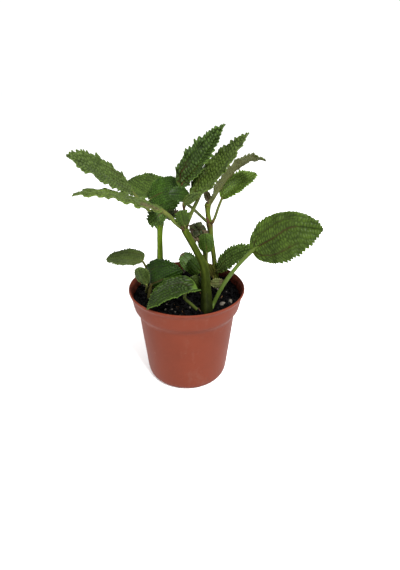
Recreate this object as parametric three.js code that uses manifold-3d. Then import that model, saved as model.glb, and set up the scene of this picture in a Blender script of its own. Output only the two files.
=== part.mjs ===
// A young pilea in a round nursery pot: leaves, stems, potting soil and pot, each its own solid.
// Millimetres, +Z up. The origin is the middle of the flat underside of the pot.
import * as THREE from "three";
import { ParametricGeometry } from "three/addons/geometries/ParametricGeometry.js";
import { mergeVertices } from "three/addons/utils/BufferGeometryUtils.js";
import Module from "manifold-3d";

const wasm = await Module();
wasm.setup();

// ---------- driving dimensions ----------
const GAP = 0.35; // clearance kept between neighbouring solids
const POT_RIM_R = 52.5; // outer radius of the rolled rim
const POT_H = 90.8; // pot height, underside to rim
const COLLAR_TOP_R = 50.6; // outer radius just below the rim
const COLLAR_LOW_R = 48.3; // outer radius just above the step
const BODY_TOP_R = 44.3; // outer radius just below the step
const BASE_R = 33.8; // radius of the flat foot ring
const WALL = 1.25; // wall thickness
const FLOOR_Z = 2.8; // top of the pot's floor
const RECESS = [18.4, 29.6, 1.5]; // ring recess in the underside: inner radius, outer radius, depth
const HOLE_R = 4.2; // drain holes in the recess
const HOLE_RING_R = 24;
const HOLE_COUNT = 8;
const SOIL_Z = 81; // soil surface at the middle, about 10 below the rim
const SOIL_FLOOR_Z = FLOOR_Z + GAP;
const BLADE_T = 1.15; // thickness of a leaf blade with its veins and quilting
const RIB_T = 1.7; // thickness at the midrib
const BLADE_ROWS = 9; // facet rows and columns of a blade; small blades take fewer
const BLADE_COLS = 6;
const POT_SEGMENTS = 48;
const STEM_SIDES = 9;
const STALK_SIDES = 6;

// Stems: [x, y, z, radius] from inside the soil to the top.
const STEMS = [
  ["stem_front", [
    [14.22, -28.29, 61.08, 2.97],
    [16.54, -32.89, 83.08, 5.4],
    [16.32, -23.5, 96.88, 4.6],
    [15.75, -22, 111.47, 3.7],
    [13.6, -20, 121.71, 3.1],
    [8.58, -18, 131.78, 2.9],
    [2.84, -16, 142.1, 2.8],
    [-1.03, -15, 149.99, 3.1],
    [-1.81, -15, 153.43, 2.2],
    [-1.76, -14.2, 159.08, 1.35],
    [-1.75, -12.8, 168.19, 1.05],
  ]],
  ["stem_left", [
    [-21.73, 8.29, 60.16, 1.65],
    [-25.27, 9.64, 82.16, 3],
    [-24.85, 14, 99.87, 2.8],
    [-24.11, 14, 120.01, 2.6],
    [-23.8, 14, 133.55, 2.5],
    [-23.21, 14, 144.79, 2.9],
    [-23.03, 14.4, 150.16, 2],
  ]],
  ["stem_back", [
    [24.19, 23.32, 61.31, 1.65],
    [28.13, 27.12, 83.31, 3],
    [27.58, 31.5, 93.14, 2.5],
    [25.66, 30, 108.72, 2.3],
    [23.39, 29, 123.48, 2.2],
    [21.16, 28, 139.62, 2.7],
    [19.62, 28, 149.16, 2.2],
    [19.21, 28, 157.55, 2.7],
    [19.17, 28, 160.31, 1.7],
  ]],
  ["stem_middle", [
    [17.47, 16.25, 60.19, 1.265],
    [20.31, 18.89, 82.19, 2.3],
    [18.87, 15, 101.14, 2.1],
    [17.38, 16, 110.91, 2],
    [15.9, 17, 121.48, 1.7],
    [14.95, 18, 127.94, 1.4],
    [14, 18.5, 133.55, 1.1],
  ]],
];

// Leaves: blade base and tip, the direction its upper face looks, width, bend and cross-section angles in degrees,
// outline powers a and b, and the stalk from the stem (or from inside the soil) to the blade.
const LEAVES = [
  { name: "leaf_upper_left", base: [-45.67, 12, 174.04], tip: [-86.85, -20.17, 209.06], normal: [0.7022, -0.1384, 0.6984], width: 33.2, bend: 13.3, p: 0.7, fold: 17.4, curl: -17.6, side: 0,
    a: 0.52, b: 0.57, lobe: 0.06, wa: 0, sq: 1, stem: "stem_left", rs: [1.6, 1.2], stalk: [[-23.86, 14, 146.18], [-34.49, 12, 160.4]] },
  { name: "leaf_left_drooping", base: [-19.82, -24, 169.94], tip: [-82.81, -35.5, 184.15], normal: [0.194, 0.138, 0.9713], width: 41.9, bend: 37.9, p: 3, fold: 6.1, curl: -15.6, side: -18.4,
    a: 0.47, b: 0.72, lobe: 0.06, wa: -0.01, sq: 1, stem: "stem_front", rs: [1.9, 1.5], stalk: [[-1.19, -15, 150], [-8.69, -18.5, 157.67], [-14.35, -21.5, 164.91]] },
  { name: "leaf_top_left", base: [-2.55, 6, 182.66], tip: [29.22, 1.46, 228.98], normal: [-0.6724, -0.6226, 0.4003], width: 29.8, bend: -7.2, p: 1.16, fold: 27.6, curl: 6.1, side: -17.7,
    a: 0.42, b: 0.76, lobe: 0.16, wa: 0.01, sq: 1, stem: "stem_back", rs: [1.4, 1.2], stalk: [[20.97, 28, 139.81], [15.33, 22, 146.97], [6.02, 7, 160.59], [-0.05, -1, 168.69], [-2.29, 2.5, 175.64]] },
  { name: "leaf_top_middle", base: [10.91, -16, 179.55], tip: [47.69, -3.67, 223.84], normal: [-0.728, -0.1922, 0.6581], width: 43.1, bend: -13.9, p: 1.08, fold: 17, curl: -1.2, side: 2.4,
    a: 0.46, b: 0.89, lobe: 0.14, wa: 0, sq: 1, stem: "stem_front", rs: [1.6, 1.3], stalk: [[-0.93, -15, 151.71], [5, -15, 166.41], [8.61, -15.5, 174.3]] },
  { name: "leaf_top_right", base: [21.79, 28, 159.02], tip: [69.07, 33.35, 195.52], normal: [-0.5805, 0.4352, 0.6882], width: 33.8, bend: 78.9, p: 2.7, fold: 10.7, curl: -8.3, side: 4.4,
    a: 0.61, b: 0.63, lobe: 0.06, wa: 0, sq: 1, stem: "stem_back", rs: [1.4, 1.2], stalk: [[19.33, 28, 155.7]] },
  { name: "leaf_right_back", base: [33.89, 45, 159.15], tip: [67.2, 65.41, 176.22], normal: [-0.0436, -0.5981, 0.8003], width: 23.5, bend: 26.7, p: 1.09, fold: 26.3, curl: 8.6, side: 2.5,
    a: 0.48, b: 0.73, lobe: 0.06, wa: 0, sq: 1, stem: "stem_back", rs: [1.4, 1.15], stalk: [[21.43, 28, 140.1], [24.77, 29.5, 142.45], [29.41, 33.5, 153.95]] },
  { name: "leaf_right_large", base: [54.99, -30, 140.21], tip: [99.83, -50, 162.73], normal: [-0.5171, -0.7911, 0.3268], width: 38.6, bend: 30, p: 1.2, fold: 8, curl: -14, side: 34,
    a: 0.48, b: 0.7, lobe: 0.12, wa: -0.05, sq: 2, stem: null, rs: [1.75, 1.5], stalk: [[18.09, -35.08, 75.16], [20.11, -31.4, 83.13], [23.08, -26, 87.36], [31.79, -28.5, 108.74], [43.58, -30, 127.55]] },
  { name: "leaf_right_low", base: [29.4, 24, 93.97], tip: [61.87, 8.35, 123.33], normal: [-0.6952, -0.5286, 0.4872], width: 19.8, bend: 46.9, p: 1.57, fold: 7.5, curl: -11.6, side: 22.8,
    a: 0.58, b: 0.79, lobe: 0.06, wa: 0.02, sq: 1, stem: "stem_back", rs: [1.4, 1.1], stalk: [[28.1, 31.3, 87.24]] },
  { name: "leaf_front_low", base: [-1.26, -36, 104.52], tip: [-32.14, -45.59, 93.43], normal: [-0.3037, -0.1155, 0.9457], width: 35.3, bend: 33.2, p: 0.7, fold: 19.4, curl: 11.8, side: 6.1,
    a: 0.25, b: 0.82, lobe: 0.32, wa: -0, sq: 1, stem: null, rs: [1.5, 1.3], stalk: [[12.5, -31.76, 74.27], [9.64, -32.44, 82.78], [3.16, -34, 91.29], [-1.97, -35.6, 98.44]] },
  { name: "leaf_left_low", base: [-30.69, -14, 99.87], tip: [-4.24, -21.33, 116.38], normal: [-0.2555, -0.9666, -0.0199], width: 38.4, bend: 57.2, p: 0.7, fold: -15.2, curl: -44.5, side: 17.8,
    a: 0.25, b: 0.64, lobe: 0.2, wa: 0.07, sq: 1, stem: null, rs: [1.7, 1.4], stalk: [[-35.25, -7.23, 74.09], [-34.33, -8.6, 82.94]] },
  { name: "leaf_left_far", base: [-39.28, -2, 116.91], tip: [-70.82, 3.3, 116.23], normal: [-0.0424, -0.1263, 0.9911], width: 28.2, bend: -0.8, p: 1.2, fold: 13.7, curl: -2.9, side: -8.4,
    a: 0.32, b: 0.54, lobe: 0.06, wa: -0, sq: 1, stem: null, rs: [1.2, 1], stalk: [[-29.52, 10.55, 73.75], [-30.36, 8.97, 82.57], [-35.65, -1, 109.22]] },
  { name: "leaf_centre_front", base: [-30.61, 18, 166.44], tip: [-2.78, 13.56, 176.33], normal: [-0.3119, -0.7948, 0.5207], width: 35, bend: 28.5, p: 0.86, fold: -2.2, curl: -31.1, side: 15.1,
    a: 0.4, b: 0.56, lobe: 0.1, wa: -0.02, sq: 1, stem: "stem_left", rs: [1.6, 1.2], stalk: [[-23.4, 14.2, 149.32], [-27.6, 16.5, 158.52]] },
  { name: "leaf_left_back", base: [-27.75, 30, 164.85], tip: [-53.96, 55.3, 172.23], normal: [-0.0488, -0.3258, 0.9442], width: 41.1, bend: -25.1, p: 0.8, fold: 19.8, curl: 7.1, side: 2.6,
    a: 0.3, b: 0.5, lobe: 0.06, wa: -0.01, sq: 1, stem: "stem_left", rs: [1.4, 1.1], stalk: [[-22.85, 14.3, 150.19], [-24.49, 24, 157.96]] },
  { name: "leaf_centre_young", base: [2.05, -11, 176.85], tip: [-13.56, -18.5, 180.84], normal: [0.4738, -0.8306, 0.2928], width: 12.4, bend: 20, p: 1.2, fold: 6, curl: -26, side: -18,
    a: 0.45, b: 0.6, lobe: 0.06, wa: 0, sq: 1, stem: "stem_front", rs: [0.95, 0.85], stalk: [[-1.75, -12.8, 167.78], [0.28, -12, 172.85]] },
  { name: "leaf_centre_pale", base: [-2.41, -15.8, 172.31], tip: [9.2, -21, 181.76], normal: [-0.4962, -0.8572, 0.1382], width: 7.6, bend: 20, p: 1.2, fold: 6, curl: -20, side: 0,
    a: 0.45, b: 0.55, lobe: 0.06, wa: 0, sq: 1, stem: "stem_front", rs: [0.95, 0.85], stalk: [[-1.77, -13, 166.19]] },
  { name: "leaf_centre_drooping", base: [-17.96, -3, 162.57], tip: [-30.15, -13, 154.85], normal: [0.3317, -0.7956, 0.5069], width: 15.5, bend: 40, p: 1.2, fold: 4, curl: -40, side: 0,
    a: 0.45, b: 0.5, lobe: 0.06, wa: 0, sq: 1, stem: "stem_left", rs: [1.3, 1], stalk: [[-22.82, 14, 145.71], [-18.21, 6, 153.48]] },
  { name: "leaf_centre_small", base: [-17.19, 8, 153.24], tip: [-6.5, 3, 158.77], normal: [-0.5522, -0.7249, 0.4117], width: 9, bend: 30, p: 1.2, fold: 10, curl: -20, side: 0,
    a: 0.5, b: 0.6, lobe: 0.06, wa: 0, sq: 1, stem: "stem_left", rs: [1.1, 0.8], stalk: [[-22.22, 13.6, 147.23]] },
  { name: "leaf_node_front", base: [-1.46, -19.5, 155.49], tip: [-4.14, -22, 168.62], normal: [0.1183, -0.9796, -0.1624], width: 12.5, bend: 14, p: 1.2, fold: 12, curl: -40, side: 0,
    a: 0.5, b: 0.5, lobe: 0.06, wa: 0, sq: 1, stem: "stem_front", rs: [1, 0.9], stalk: [[-1.5, -15.5, 151.47]] },
  { name: "leaf_left_small", base: [-34.56, -19, 102.2], tip: [-40.47, -22, 119.35], normal: [0.1643, -0.9797, -0.1148], width: 15, bend: 30, p: 1.2, fold: -16, curl: -40, side: 0,
    a: 0.45, b: 0.5, lobe: 0.06, wa: 0, sq: 1, stem: null, rs: [1.2, 1], stalk: [[-37.65, 4.89, 74.87], [-37.19, 1.32, 83.12]] },
  { name: "leaf_middle_round", base: [18.47, 12, 118.18], tip: [16.27, 9, 137.39], normal: [0.0146, -0.9882, -0.1526], width: 15.5, bend: 20, p: 1.2, fold: 0, curl: -30, side: 0,
    a: 0.42, b: 0.42, lobe: 0.06, wa: 0, sq: 1, stem: "stem_middle", rs: [1.2, 1], stalk: [[18.17, 15.5, 106.05]] },
  { name: "leaf_middle_curled", base: [15.95, 17.5, 141.06], tip: [3.82, 13.5, 130.76], normal: [-0.126, -0.8656, 0.4846], width: 15.5, bend: 50, p: 1.2, fold: 6, curl: -50, side: 0,
    a: 0.45, b: 0.55, lobe: 0.06, wa: 0, sq: 1, stem: "stem_middle", rs: [1, 0.8], stalk: [[14.01, 18.4, 132.63]] },
  { name: "leaf_back_olive", base: [8.64, 16, 98.65], tip: [-4.8, 22, 112.42], normal: [0.1888, -0.8194, 0.5413], width: 17, bend: 24, p: 1.2, fold: 6, curl: -30, side: 0,
    a: 0.45, b: 0.5, lobe: 0.06, wa: 0, sq: 1, stem: "stem_middle", rs: [1.2, 1], stalk: [[18.92, 14.4, 96.23]] },
  { name: "leaf_middle_dark", base: [12.37, 2, 103.43], tip: [2.45, -3, 117.67], normal: [0.4858, -0.8735, 0.0316], width: 17, bend: 24, p: 1.2, fold: 4, curl: -30, side: 0,
    a: 0.45, b: 0.45, lobe: 0.06, wa: 0, sq: 1, stem: null, rs: [1.2, 1], stalk: [[16.12, 6.66, 72.77], [15.48, 5.87, 81.71]] },
  { name: "leaf_middle_low", base: [14.18, -13, 93.11], tip: [3.14, -18, 108.12], normal: [0.3295, -0.9415, -0.0711], width: 14, bend: 20, p: 1.2, fold: 6, curl: -30, side: 0,
    a: 0.45, b: 0.5, lobe: 0.06, wa: 0, sq: 1, stem: null, rs: [1.2, 1], stalk: [[15.51, -15.55, 72.95], [15.13, -14.83, 81.91]] },
  { name: "leaf_base_young", base: [21.44, -8, 97.4], tip: [32.89, -9, 98.83], normal: [-0.1021, -0.9865, 0.1277], width: 9, bend: 50, p: 1.2, fold: 16, curl: -30, side: 0,
    a: 0.5, b: 0.6, lobe: 0.06, wa: 0, sq: 1, stem: null, rs: [0.9, 0.8], stalk: [[20.61, 1.77, 73.13], [20.78, -0.29, 81.89]] },
  { name: "leaf_back_young", base: [25.13, 24.5, 87.94], tip: [19.74, 22, 102.49], normal: [0.4742, -0.88, 0.0246], width: 8, bend: 20, p: 1.2, fold: 24, curl: -10, side: 0,
    a: 0.5, b: 0.6, lobe: 0.06, wa: 0, sq: 1, stem: null, rs: [1, 0.9], stalk: [[26.75, 26.45, 74.13], [25.99, 25.53, 83.05]] },
  { name: "leaf_top_bud", base: [19.19, 24, 163.33], tip: [15.82, 20, 172.91], normal: [0.4866, -0.8538, -0.185], width: 7, bend: 30, p: 1.2, fold: 26, curl: -10, side: 0,
    a: 0.5, b: 0.6, lobe: 0.06, wa: 0, sq: 1, stem: "stem_back", rs: [0.9, 0.8], stalk: [[19.41, 28, 156.62]] },
];

// Perlite grains on the soil: centre, half sizes, turn in radians.
const GRAINS = [
  ["grain_1", [31.2, -21.6, 83.8], [3.1, 2.1, 1.7], [0.2, 0.1, 0.4]],
  ["grain_2", [38.3, -17.4, 83.9], [2.9, 1.9, 1.6], [-0.1, 0.2, 2.1]],
];

// ---------- helpers ----------
const V = (a) => new THREE.Vector3(a[0], a[1], a[2]);
const RAD = Math.PI / 180;

// Positions only, shared corners merged and needle-thin leftovers dropped.
function closed(geometry) {
  const g = geometry.clone();
  g.deleteAttribute("normal");
  g.deleteAttribute("uv");
  const m = mergeVertices(g, 1e-3);
  const keep = [];
  const ix = m.index.array;
  for (let i = 0; i < ix.length; i += 3)
    if (ix[i] !== ix[i + 1] && ix[i + 1] !== ix[i + 2] && ix[i] !== ix[i + 2])
      keep.push(ix[i], ix[i + 1], ix[i + 2]);
  m.setIndex(keep);
  return m;
}

function solid(geometry, matrix) {
  const g = closed(geometry);
  if (matrix) g.applyMatrix4(matrix);
  const make = (flip) => {
    const t = new Uint32Array(g.index.array);
    if (flip)
      for (let i = 0; i < t.length; i += 3) [t[i + 1], t[i + 2]] = [t[i + 2], t[i + 1]];
    return new wasm.Manifold(
      new wasm.Mesh({ numProp: 3, vertProperties: new Float32Array(g.attributes.position.array), triVerts: t }),
    );
  };
  const s = make(false);
  return s.volume() < 0 ? make(true) : s;
}

function biggest(s) {
  return s.decompose().sort((a, b) => b.volume() - a.volume())[0];
}

function geometryOf(s) {
  const m = s.getMesh();
  const g = new THREE.BufferGeometry();
  const n = m.numProp;
  const p = new Float32Array((m.vertProperties.length / n) * 3);
  for (let i = 0; i < p.length / 3; i++)
    for (let k = 0; k < 3; k++) p[i * 3 + k] = m.vertProperties[i * n + k];
  g.setAttribute("position", new THREE.BufferAttribute(p, 3));
  g.setIndex(Array.from(m.triVerts));
  g.computeVertexNormals();
  return g;
}

const group = new THREE.Group();
function place(name, s, colour, roughness, metalness = 0) {
  const mesh = new THREE.Mesh(
    geometryOf(biggest(s)),
    new THREE.MeshStandardMaterial({ color: colour, roughness, metalness }),
  );
  mesh.name = name;
  group.add(mesh);
}

// A round bar of changing thickness along a smooth path, closed at both ends.
function bar(points, radii, sides, rows, extra = 0) {
  const path = new THREE.CatmullRomCurve3(points.map(V), false, "centripetal");
  const frames = path.computeFrenetFrames(rows, false);
  const g = new ParametricGeometry(
    (u, v, out) => {
      // the first and last step along the path close the ends to a point
      const s = v * (rows + 2) - 1;
      const k = Math.min(rows, Math.max(0, Math.round(s)));
      const t = k / rows;
      const at = path.getPoint(t);
      const x = t * (radii.length - 1);
      const i = Math.min(radii.length - 2, Math.floor(x));
      let r = radii[i] + (radii[i + 1] - radii[i]) * (x - i) + extra;
      if (s < -0.5 || s > rows + 0.5) r = 0;
      const a = u * 2 * Math.PI;
      out.copy(at)
        .addScaledVector(frames.normals[k], r * Math.cos(a))
        .addScaledVector(frames.binormals[k], r * Math.sin(a));
      if (extra > 0 && r === 0) out.addScaledVector(frames.tangents[k], s < 0 ? -extra : extra);
    },
    sides,
    rows + 2,
  );
  return solid(g);
}

// Half width of a blade along its length, 1 at the widest place.
function outline(t, a, b) {
  const tm = a / (a + b);
  return (Math.pow(Math.max(t, 0), a) * Math.pow(Math.max(1 - t, 0), b)) / (Math.pow(tm, a) * Math.pow(1 - tm, b));
}

// Midrib points and frames of a leaf, from its base to its tip.
function midrib(leaf) {
  const N = 120;
  const B = V(leaf.base), tip = V(leaf.tip);
  const c = tip.clone().sub(B);
  const length = c.length();
  c.normalize();
  const n = V(leaf.normal);
  n.addScaledVector(c, -n.dot(c)).normalize();
  const side = new THREE.Vector3().crossVectors(n, c);
  const bend = leaf.bend * RAD, g = leaf.side * RAD;
  let lo = -3, hi = 3, start = 0;
  for (let k = 0; k < 50; k++) {
    start = (lo + hi) / 2;
    let sum = 0;
    for (let i = 0; i < N; i++) sum += Math.sin(start - bend * Math.pow((i + 0.5) / N, leaf.p));
    if (sum > 0) hi = start;
    else lo = start;
  }
  const direction = (t) => {
    const th = start - bend * Math.pow(t, leaf.p), ps = g * (1 / (leaf.sq + 1) - Math.pow(t, leaf.sq));
    return new THREE.Vector3()
      .addScaledVector(c, Math.cos(th) * Math.cos(ps))
      .addScaledVector(n, Math.sin(th))
      .addScaledVector(side, Math.cos(th) * Math.sin(ps));
  };
  const points = [new THREE.Vector3()];
  for (let i = 0; i < N; i++) points.push(points[i].clone().add(direction((i + 0.5) / N)));
  const k = length / points[N].length();
  return (t) => {
    const x = t * N, i = Math.min(N - 1, Math.floor(x));
    const at = points[i].clone().lerp(points[i + 1], x - i).multiplyScalar(k).add(B);
    const T = direction(t);
    const up = n.clone().addScaledVector(T, -n.dot(T)).normalize();
    return { at, T, up, side: new THREE.Vector3().crossVectors(up, T) };
  };
}

// A point on the middle surface of a blade; t runs from base to tip and v from edge to edge.
function bladePoint(leaf, rib, t, v) {
  const f = rib(t);
  const s = Math.sign(v), m = Math.abs(v);
  const least = t < 0.5 ? 1.2 : 0.55;
  const w = Math.max((leaf.width / 2) * outline(t, leaf.a, leaf.b) * (1 + leaf.wa * s), least);
  const fold = leaf.fold * RAD;
  const curl = Math.abs(leaf.curl) < 0.1 ? 0.1 * RAD : leaf.curl * RAD;
  const y = (w * (Math.sin(fold + curl * m) - Math.sin(fold))) / curl;
  const z = (w * (Math.cos(fold) - Math.cos(fold + curl * m))) / curl;
  const back = -leaf.lobe * leaf.width * m * m * Math.pow(1 - t, 5);
  return f.at.addScaledVector(f.side, s * y).addScaledVector(f.up, z).addScaledVector(f.T, back);
}

// A leaf: one grown piece, its blade with its stalk. Other stems are cut clear by the caller.
function leafSolid(leaf) {
  const rib = midrib(leaf);
  const small = leaf.width < 25;
  const cols = small ? BLADE_COLS - 2 : BLADE_COLS;
  const lines = small ? BLADE_ROWS - 3 : BLADE_ROWS;
  const around = 2 * cols;
  const middle = (t, v) => bladePoint(leaf, rib, t, v);
  const shell = new ParametricGeometry(
    (u, w, out) => {
      const s = Math.round(w * (lines + 2)) - 1;
      const end = s < 0 || s > lines;
      const k = Math.min(lines, Math.max(0, s)) / lines;
      const t = (1 - Math.cos(Math.PI * k)) / 2;
      const j = Math.round(u * around) % around; // over the top, then back underneath
      const top = j <= cols;
      const v = top ? 1 - (2 * j) / cols : -1 + (2 * (j - cols)) / cols;
      if (end) {
        out.copy(middle(t, 0));
        return;
      }
      const e = 0.02;
      const p = middle(t, v);
      const vi = Math.max(-0.98, Math.min(0.98, v));
      const ti = Math.max(0.02, Math.min(0.98, t));
      const dt = middle(ti + e, vi).sub(middle(ti - e, vi));
      const dv = middle(ti, vi + e).sub(middle(ti, vi - e));
      const nrm = dt.cross(dv).normalize();
      if (nrm.dot(rib(t).up) < 0) nrm.negate();
      const edge = Math.abs(v) > 0.99;
      const h = edge ? 0 : (BLADE_T + (RIB_T - BLADE_T) * Math.max(0, 1 - 1.5 * Math.abs(v))) / 2;
      out.copy(p).addScaledVector(nrm, top ? h : -h);
    },
    around,
    lines + 2,
  );
  let s = solid(shell);
  const stalk = leaf.stalk.map((p) => p.slice());
  const inner = rib(0.05).at;
  stalk.push([leaf.base[0], leaf.base[1], leaf.base[2]], [inner.x, inner.y, inner.z]);
  const radii = stalk.map((_, i) => leaf.rs[0] + ((leaf.rs[1] - leaf.rs[0]) * i) / (stalk.length - 1));
  radii[radii.length - 1] = Math.min(radii[radii.length - 1], 0.8);
  const rows = Math.max(3, Math.min(8, stalk.length * 2 - 2));
  return {
    whole: s.add(bar(stalk, radii, STALK_SIDES, rows)),
    stalkWide: bar(stalk, radii, STALK_SIDES, rows, GAP),
  };
}

// ---------- pot ----------
// Turned profile: underside with its ring recess, foot, body, step, collar, rim and inside wall.
const outer = [
  [0, 0], [RECESS[0], 0], [RECESS[0] + 0.6, RECESS[2]], [RECESS[1], RECESS[2]], [RECESS[1] + 0.6, 0],
  [BASE_R, 0], [35.7, 0.8], [37, 2.2], [37.9, 4.6], [38.5, 8], [42.7, 50], [BODY_TOP_R, 66.5],
  [45.2, 68.8], [46.9, 71.2], [COLLAR_LOW_R, 73.4], [49.1, 77], [49.9, 81.4], [COLLAR_TOP_R, 85.6],
  [51.1, 87.2], [52.2, 88.8], [POT_RIM_R, 89.4], [POT_RIM_R, 90.3], [52.1, POT_H],
];
const inner = [
  [51.3, POT_H], [51.1, 89.6], [50, 87.7], [COLLAR_TOP_R - WALL, 85.9], [49.9 - WALL, 81.6], [49.1 - WALL, 77.2],
  [47.15, 74], [45.8, 71.9], [44.1, 69.3], [BODY_TOP_R - WALL, 66.8], [42.7 - WALL, 50],
  [38.5 - WALL, 8.2], [36.5, 5.2], [34.4, FLOOR_Z], [0, FLOOR_Z],
];
const turned = (profile) =>
  solid(
    new THREE.LatheGeometry(profile.map(([r, z]) => new THREE.Vector2(r, z)), POT_SEGMENTS),
    new THREE.Matrix4().makeRotationX(Math.PI / 2),
  );
let pot = turned([...outer, ...inner]);
for (let i = 0; i < HOLE_COUNT; i++) {
  const a = (2 * Math.PI * (i + 0.5)) / HOLE_COUNT;
  pot = pot.subtract(
    solid(
      new THREE.CylinderGeometry(HOLE_R, HOLE_R, 8, 12),
      new THREE.Matrix4()
        .makeTranslation(HOLE_RING_R * Math.cos(a), HOLE_RING_R * Math.sin(a), 1.5)
        .multiply(new THREE.Matrix4().makeRotationX(Math.PI / 2)),
    ),
  );
}

// ---------- stems ----------
const stems = new Map();
const stemsWide = new Map();
for (const [name, rows] of STEMS) {
  const pts = rows.map((r) => r.slice(0, 3)), rad = rows.map((r) => r[3]);
  const n = Math.round((rows.length - 1) * 1.5);
  stems.set(name, bar(pts, rad, STEM_SIDES, n));
  stemsWide.set(name, bar(pts, rad, STEM_SIDES, n, GAP));
}
// where two stems meet, the later one is cut clear of the earlier one
const stemNames = [...stems.keys()];
for (let i = 0; i < stemNames.length; i++)
  for (let j = 0; j < i; j++) stems.set(stemNames[i], stems.get(stemNames[i]).subtract(stemsWide.get(stemNames[j])));

// ---------- leaves ----------
// A stalk is cut clear of every stem, and of the stalks that leave the same stem before it.
const leaves = new Map();
const stalksWide = [];
for (const leaf of LEAVES) {
  const made = leafSolid(leaf);
  let s = made.whole;
  for (const w of stemsWide.values()) s = s.subtract(w);
  for (const [stem, w] of stalksWide) if (leaf.stem && stem === leaf.stem) s = s.subtract(w);
  leaves.set(leaf.name, biggest(s));
  stalksWide.push([leaf.stem, made.stalkWide]);
}

// ---------- soil ----------
// The root ball fills the pot; its top is a little uneven.
const soilProfile = [
  [0, SOIL_FLOOR_Z], [33.9, SOIL_FLOOR_Z], [36, 5.7], [38.5 - WALL - GAP - 0.05, 8.4], [42.7 - WALL - GAP, 50],
  [BODY_TOP_R - WALL - GAP - 0.1, 66.7], [43.6, 69.5], [45.25, 72.1], [46.6, 74.3], [47.35, 77.3], [48.15, 81.8],
  [47.8, SOIL_Z + 2], [40, SOIL_Z + 2.4], [28, SOIL_Z + 1.2], [14, SOIL_Z + 0.6], [0, SOIL_Z],
];
let soil = turned(soilProfile);
for (const w of stemsWide.values()) soil = soil.subtract(w);
LEAVES.forEach((leaf, i) => {
  if (!leaf.stem) soil = soil.subtract(stalksWide[i][1]);
});
const grains = new Map();
for (const [name, at, size, turn] of GRAINS) {
  const m = new THREE.Matrix4()
    .makeTranslation(at[0], at[1], at[2])
    .multiply(new THREE.Matrix4().makeRotationFromEuler(new THREE.Euler(turn[0], turn[1], turn[2])));
  const lump = (x) =>
    solid(new THREE.IcosahedronGeometry(1, 1), m.clone().multiply(new THREE.Matrix4().makeScale(size[0] + x, size[1] + x, size[2] + x)));
  grains.set(name, lump(0));
  soil = soil.subtract(lump(GAP));
}

// ---------- scene graph ----------
place("pot", pot, 0xa65a44, 0.6);
place("soil", soil, 0x241a16, 0.95);
for (const [name, s] of grains) place(name, s, 0xcdbba3, 0.9);
for (const [name, s] of stems) place(name, s, 0x6f8f34, 0.5);
for (const [name, s] of leaves) place(name, s, 0x3f6a30, 0.55);

export default group;
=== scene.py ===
import math

import bmesh
import bpy
import numpy as np
from mathutils import Matrix, Vector


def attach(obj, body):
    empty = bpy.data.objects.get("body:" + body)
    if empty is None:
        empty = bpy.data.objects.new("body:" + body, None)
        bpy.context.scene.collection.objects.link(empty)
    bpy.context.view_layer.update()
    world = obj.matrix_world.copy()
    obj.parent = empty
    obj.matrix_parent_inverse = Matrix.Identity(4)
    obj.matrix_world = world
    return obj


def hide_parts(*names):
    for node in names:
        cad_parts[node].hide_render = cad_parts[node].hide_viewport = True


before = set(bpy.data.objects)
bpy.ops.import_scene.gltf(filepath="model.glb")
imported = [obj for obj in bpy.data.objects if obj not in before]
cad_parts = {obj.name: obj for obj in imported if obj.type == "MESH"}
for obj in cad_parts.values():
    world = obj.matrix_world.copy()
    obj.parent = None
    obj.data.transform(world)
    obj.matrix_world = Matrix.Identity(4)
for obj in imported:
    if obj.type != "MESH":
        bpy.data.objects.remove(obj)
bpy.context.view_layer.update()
MM = 0.001

# Sizes in mm, the same as the part's own.
POT_OUTER = [[18.4, 0], [19, 1.5], [29.6, 1.5], [30.2, 0], [33.8, 0], [35.7, 0.8], [37, 2.2], [37.9, 4.6], [38.5, 8], [42.7, 50], [44.3, 66.5], [45.2, 68.8], [46.9, 71.2], [48.3, 73.4], [49.1, 77], [49.9, 81.4], [50.6, 85.6], [51.1, 87.2], [52.2, 88.8], [52.5, 89.4], [52.5, 90.3], [52.1, 90.8]]
POT_INNER = [[51.3, 90.8], [51.1, 89.6], [50, 87.7], [49.35, 85.9], [48.65, 81.6], [47.85, 77.2], [47.15, 74], [45.8, 71.9], [44.1, 69.3], [43.05, 66.8], [41.45, 50], [37.25, 8.2], [36.5, 5.2], [34.4, 2.8], [0, 2.8]]
HOLE_RING, HOLE_R, HOLES = 24.0, 4.2, 8
SOIL_TOP = [[47.8, 83.0], [40, 83.4], [28, 82.2], [14, 81.6], [0, 81]]
SOIL_SIDE = [[48.1, 82.2], [48.05, 81.5], [47.25, 77.2], [46.5, 74.2], [45.1, 72], [43.45, 69.4], [42.5, 66.6], [41, 50], [36.8, 8.6], [35.9, 5.9], [33.8, 3.2]]
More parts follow.
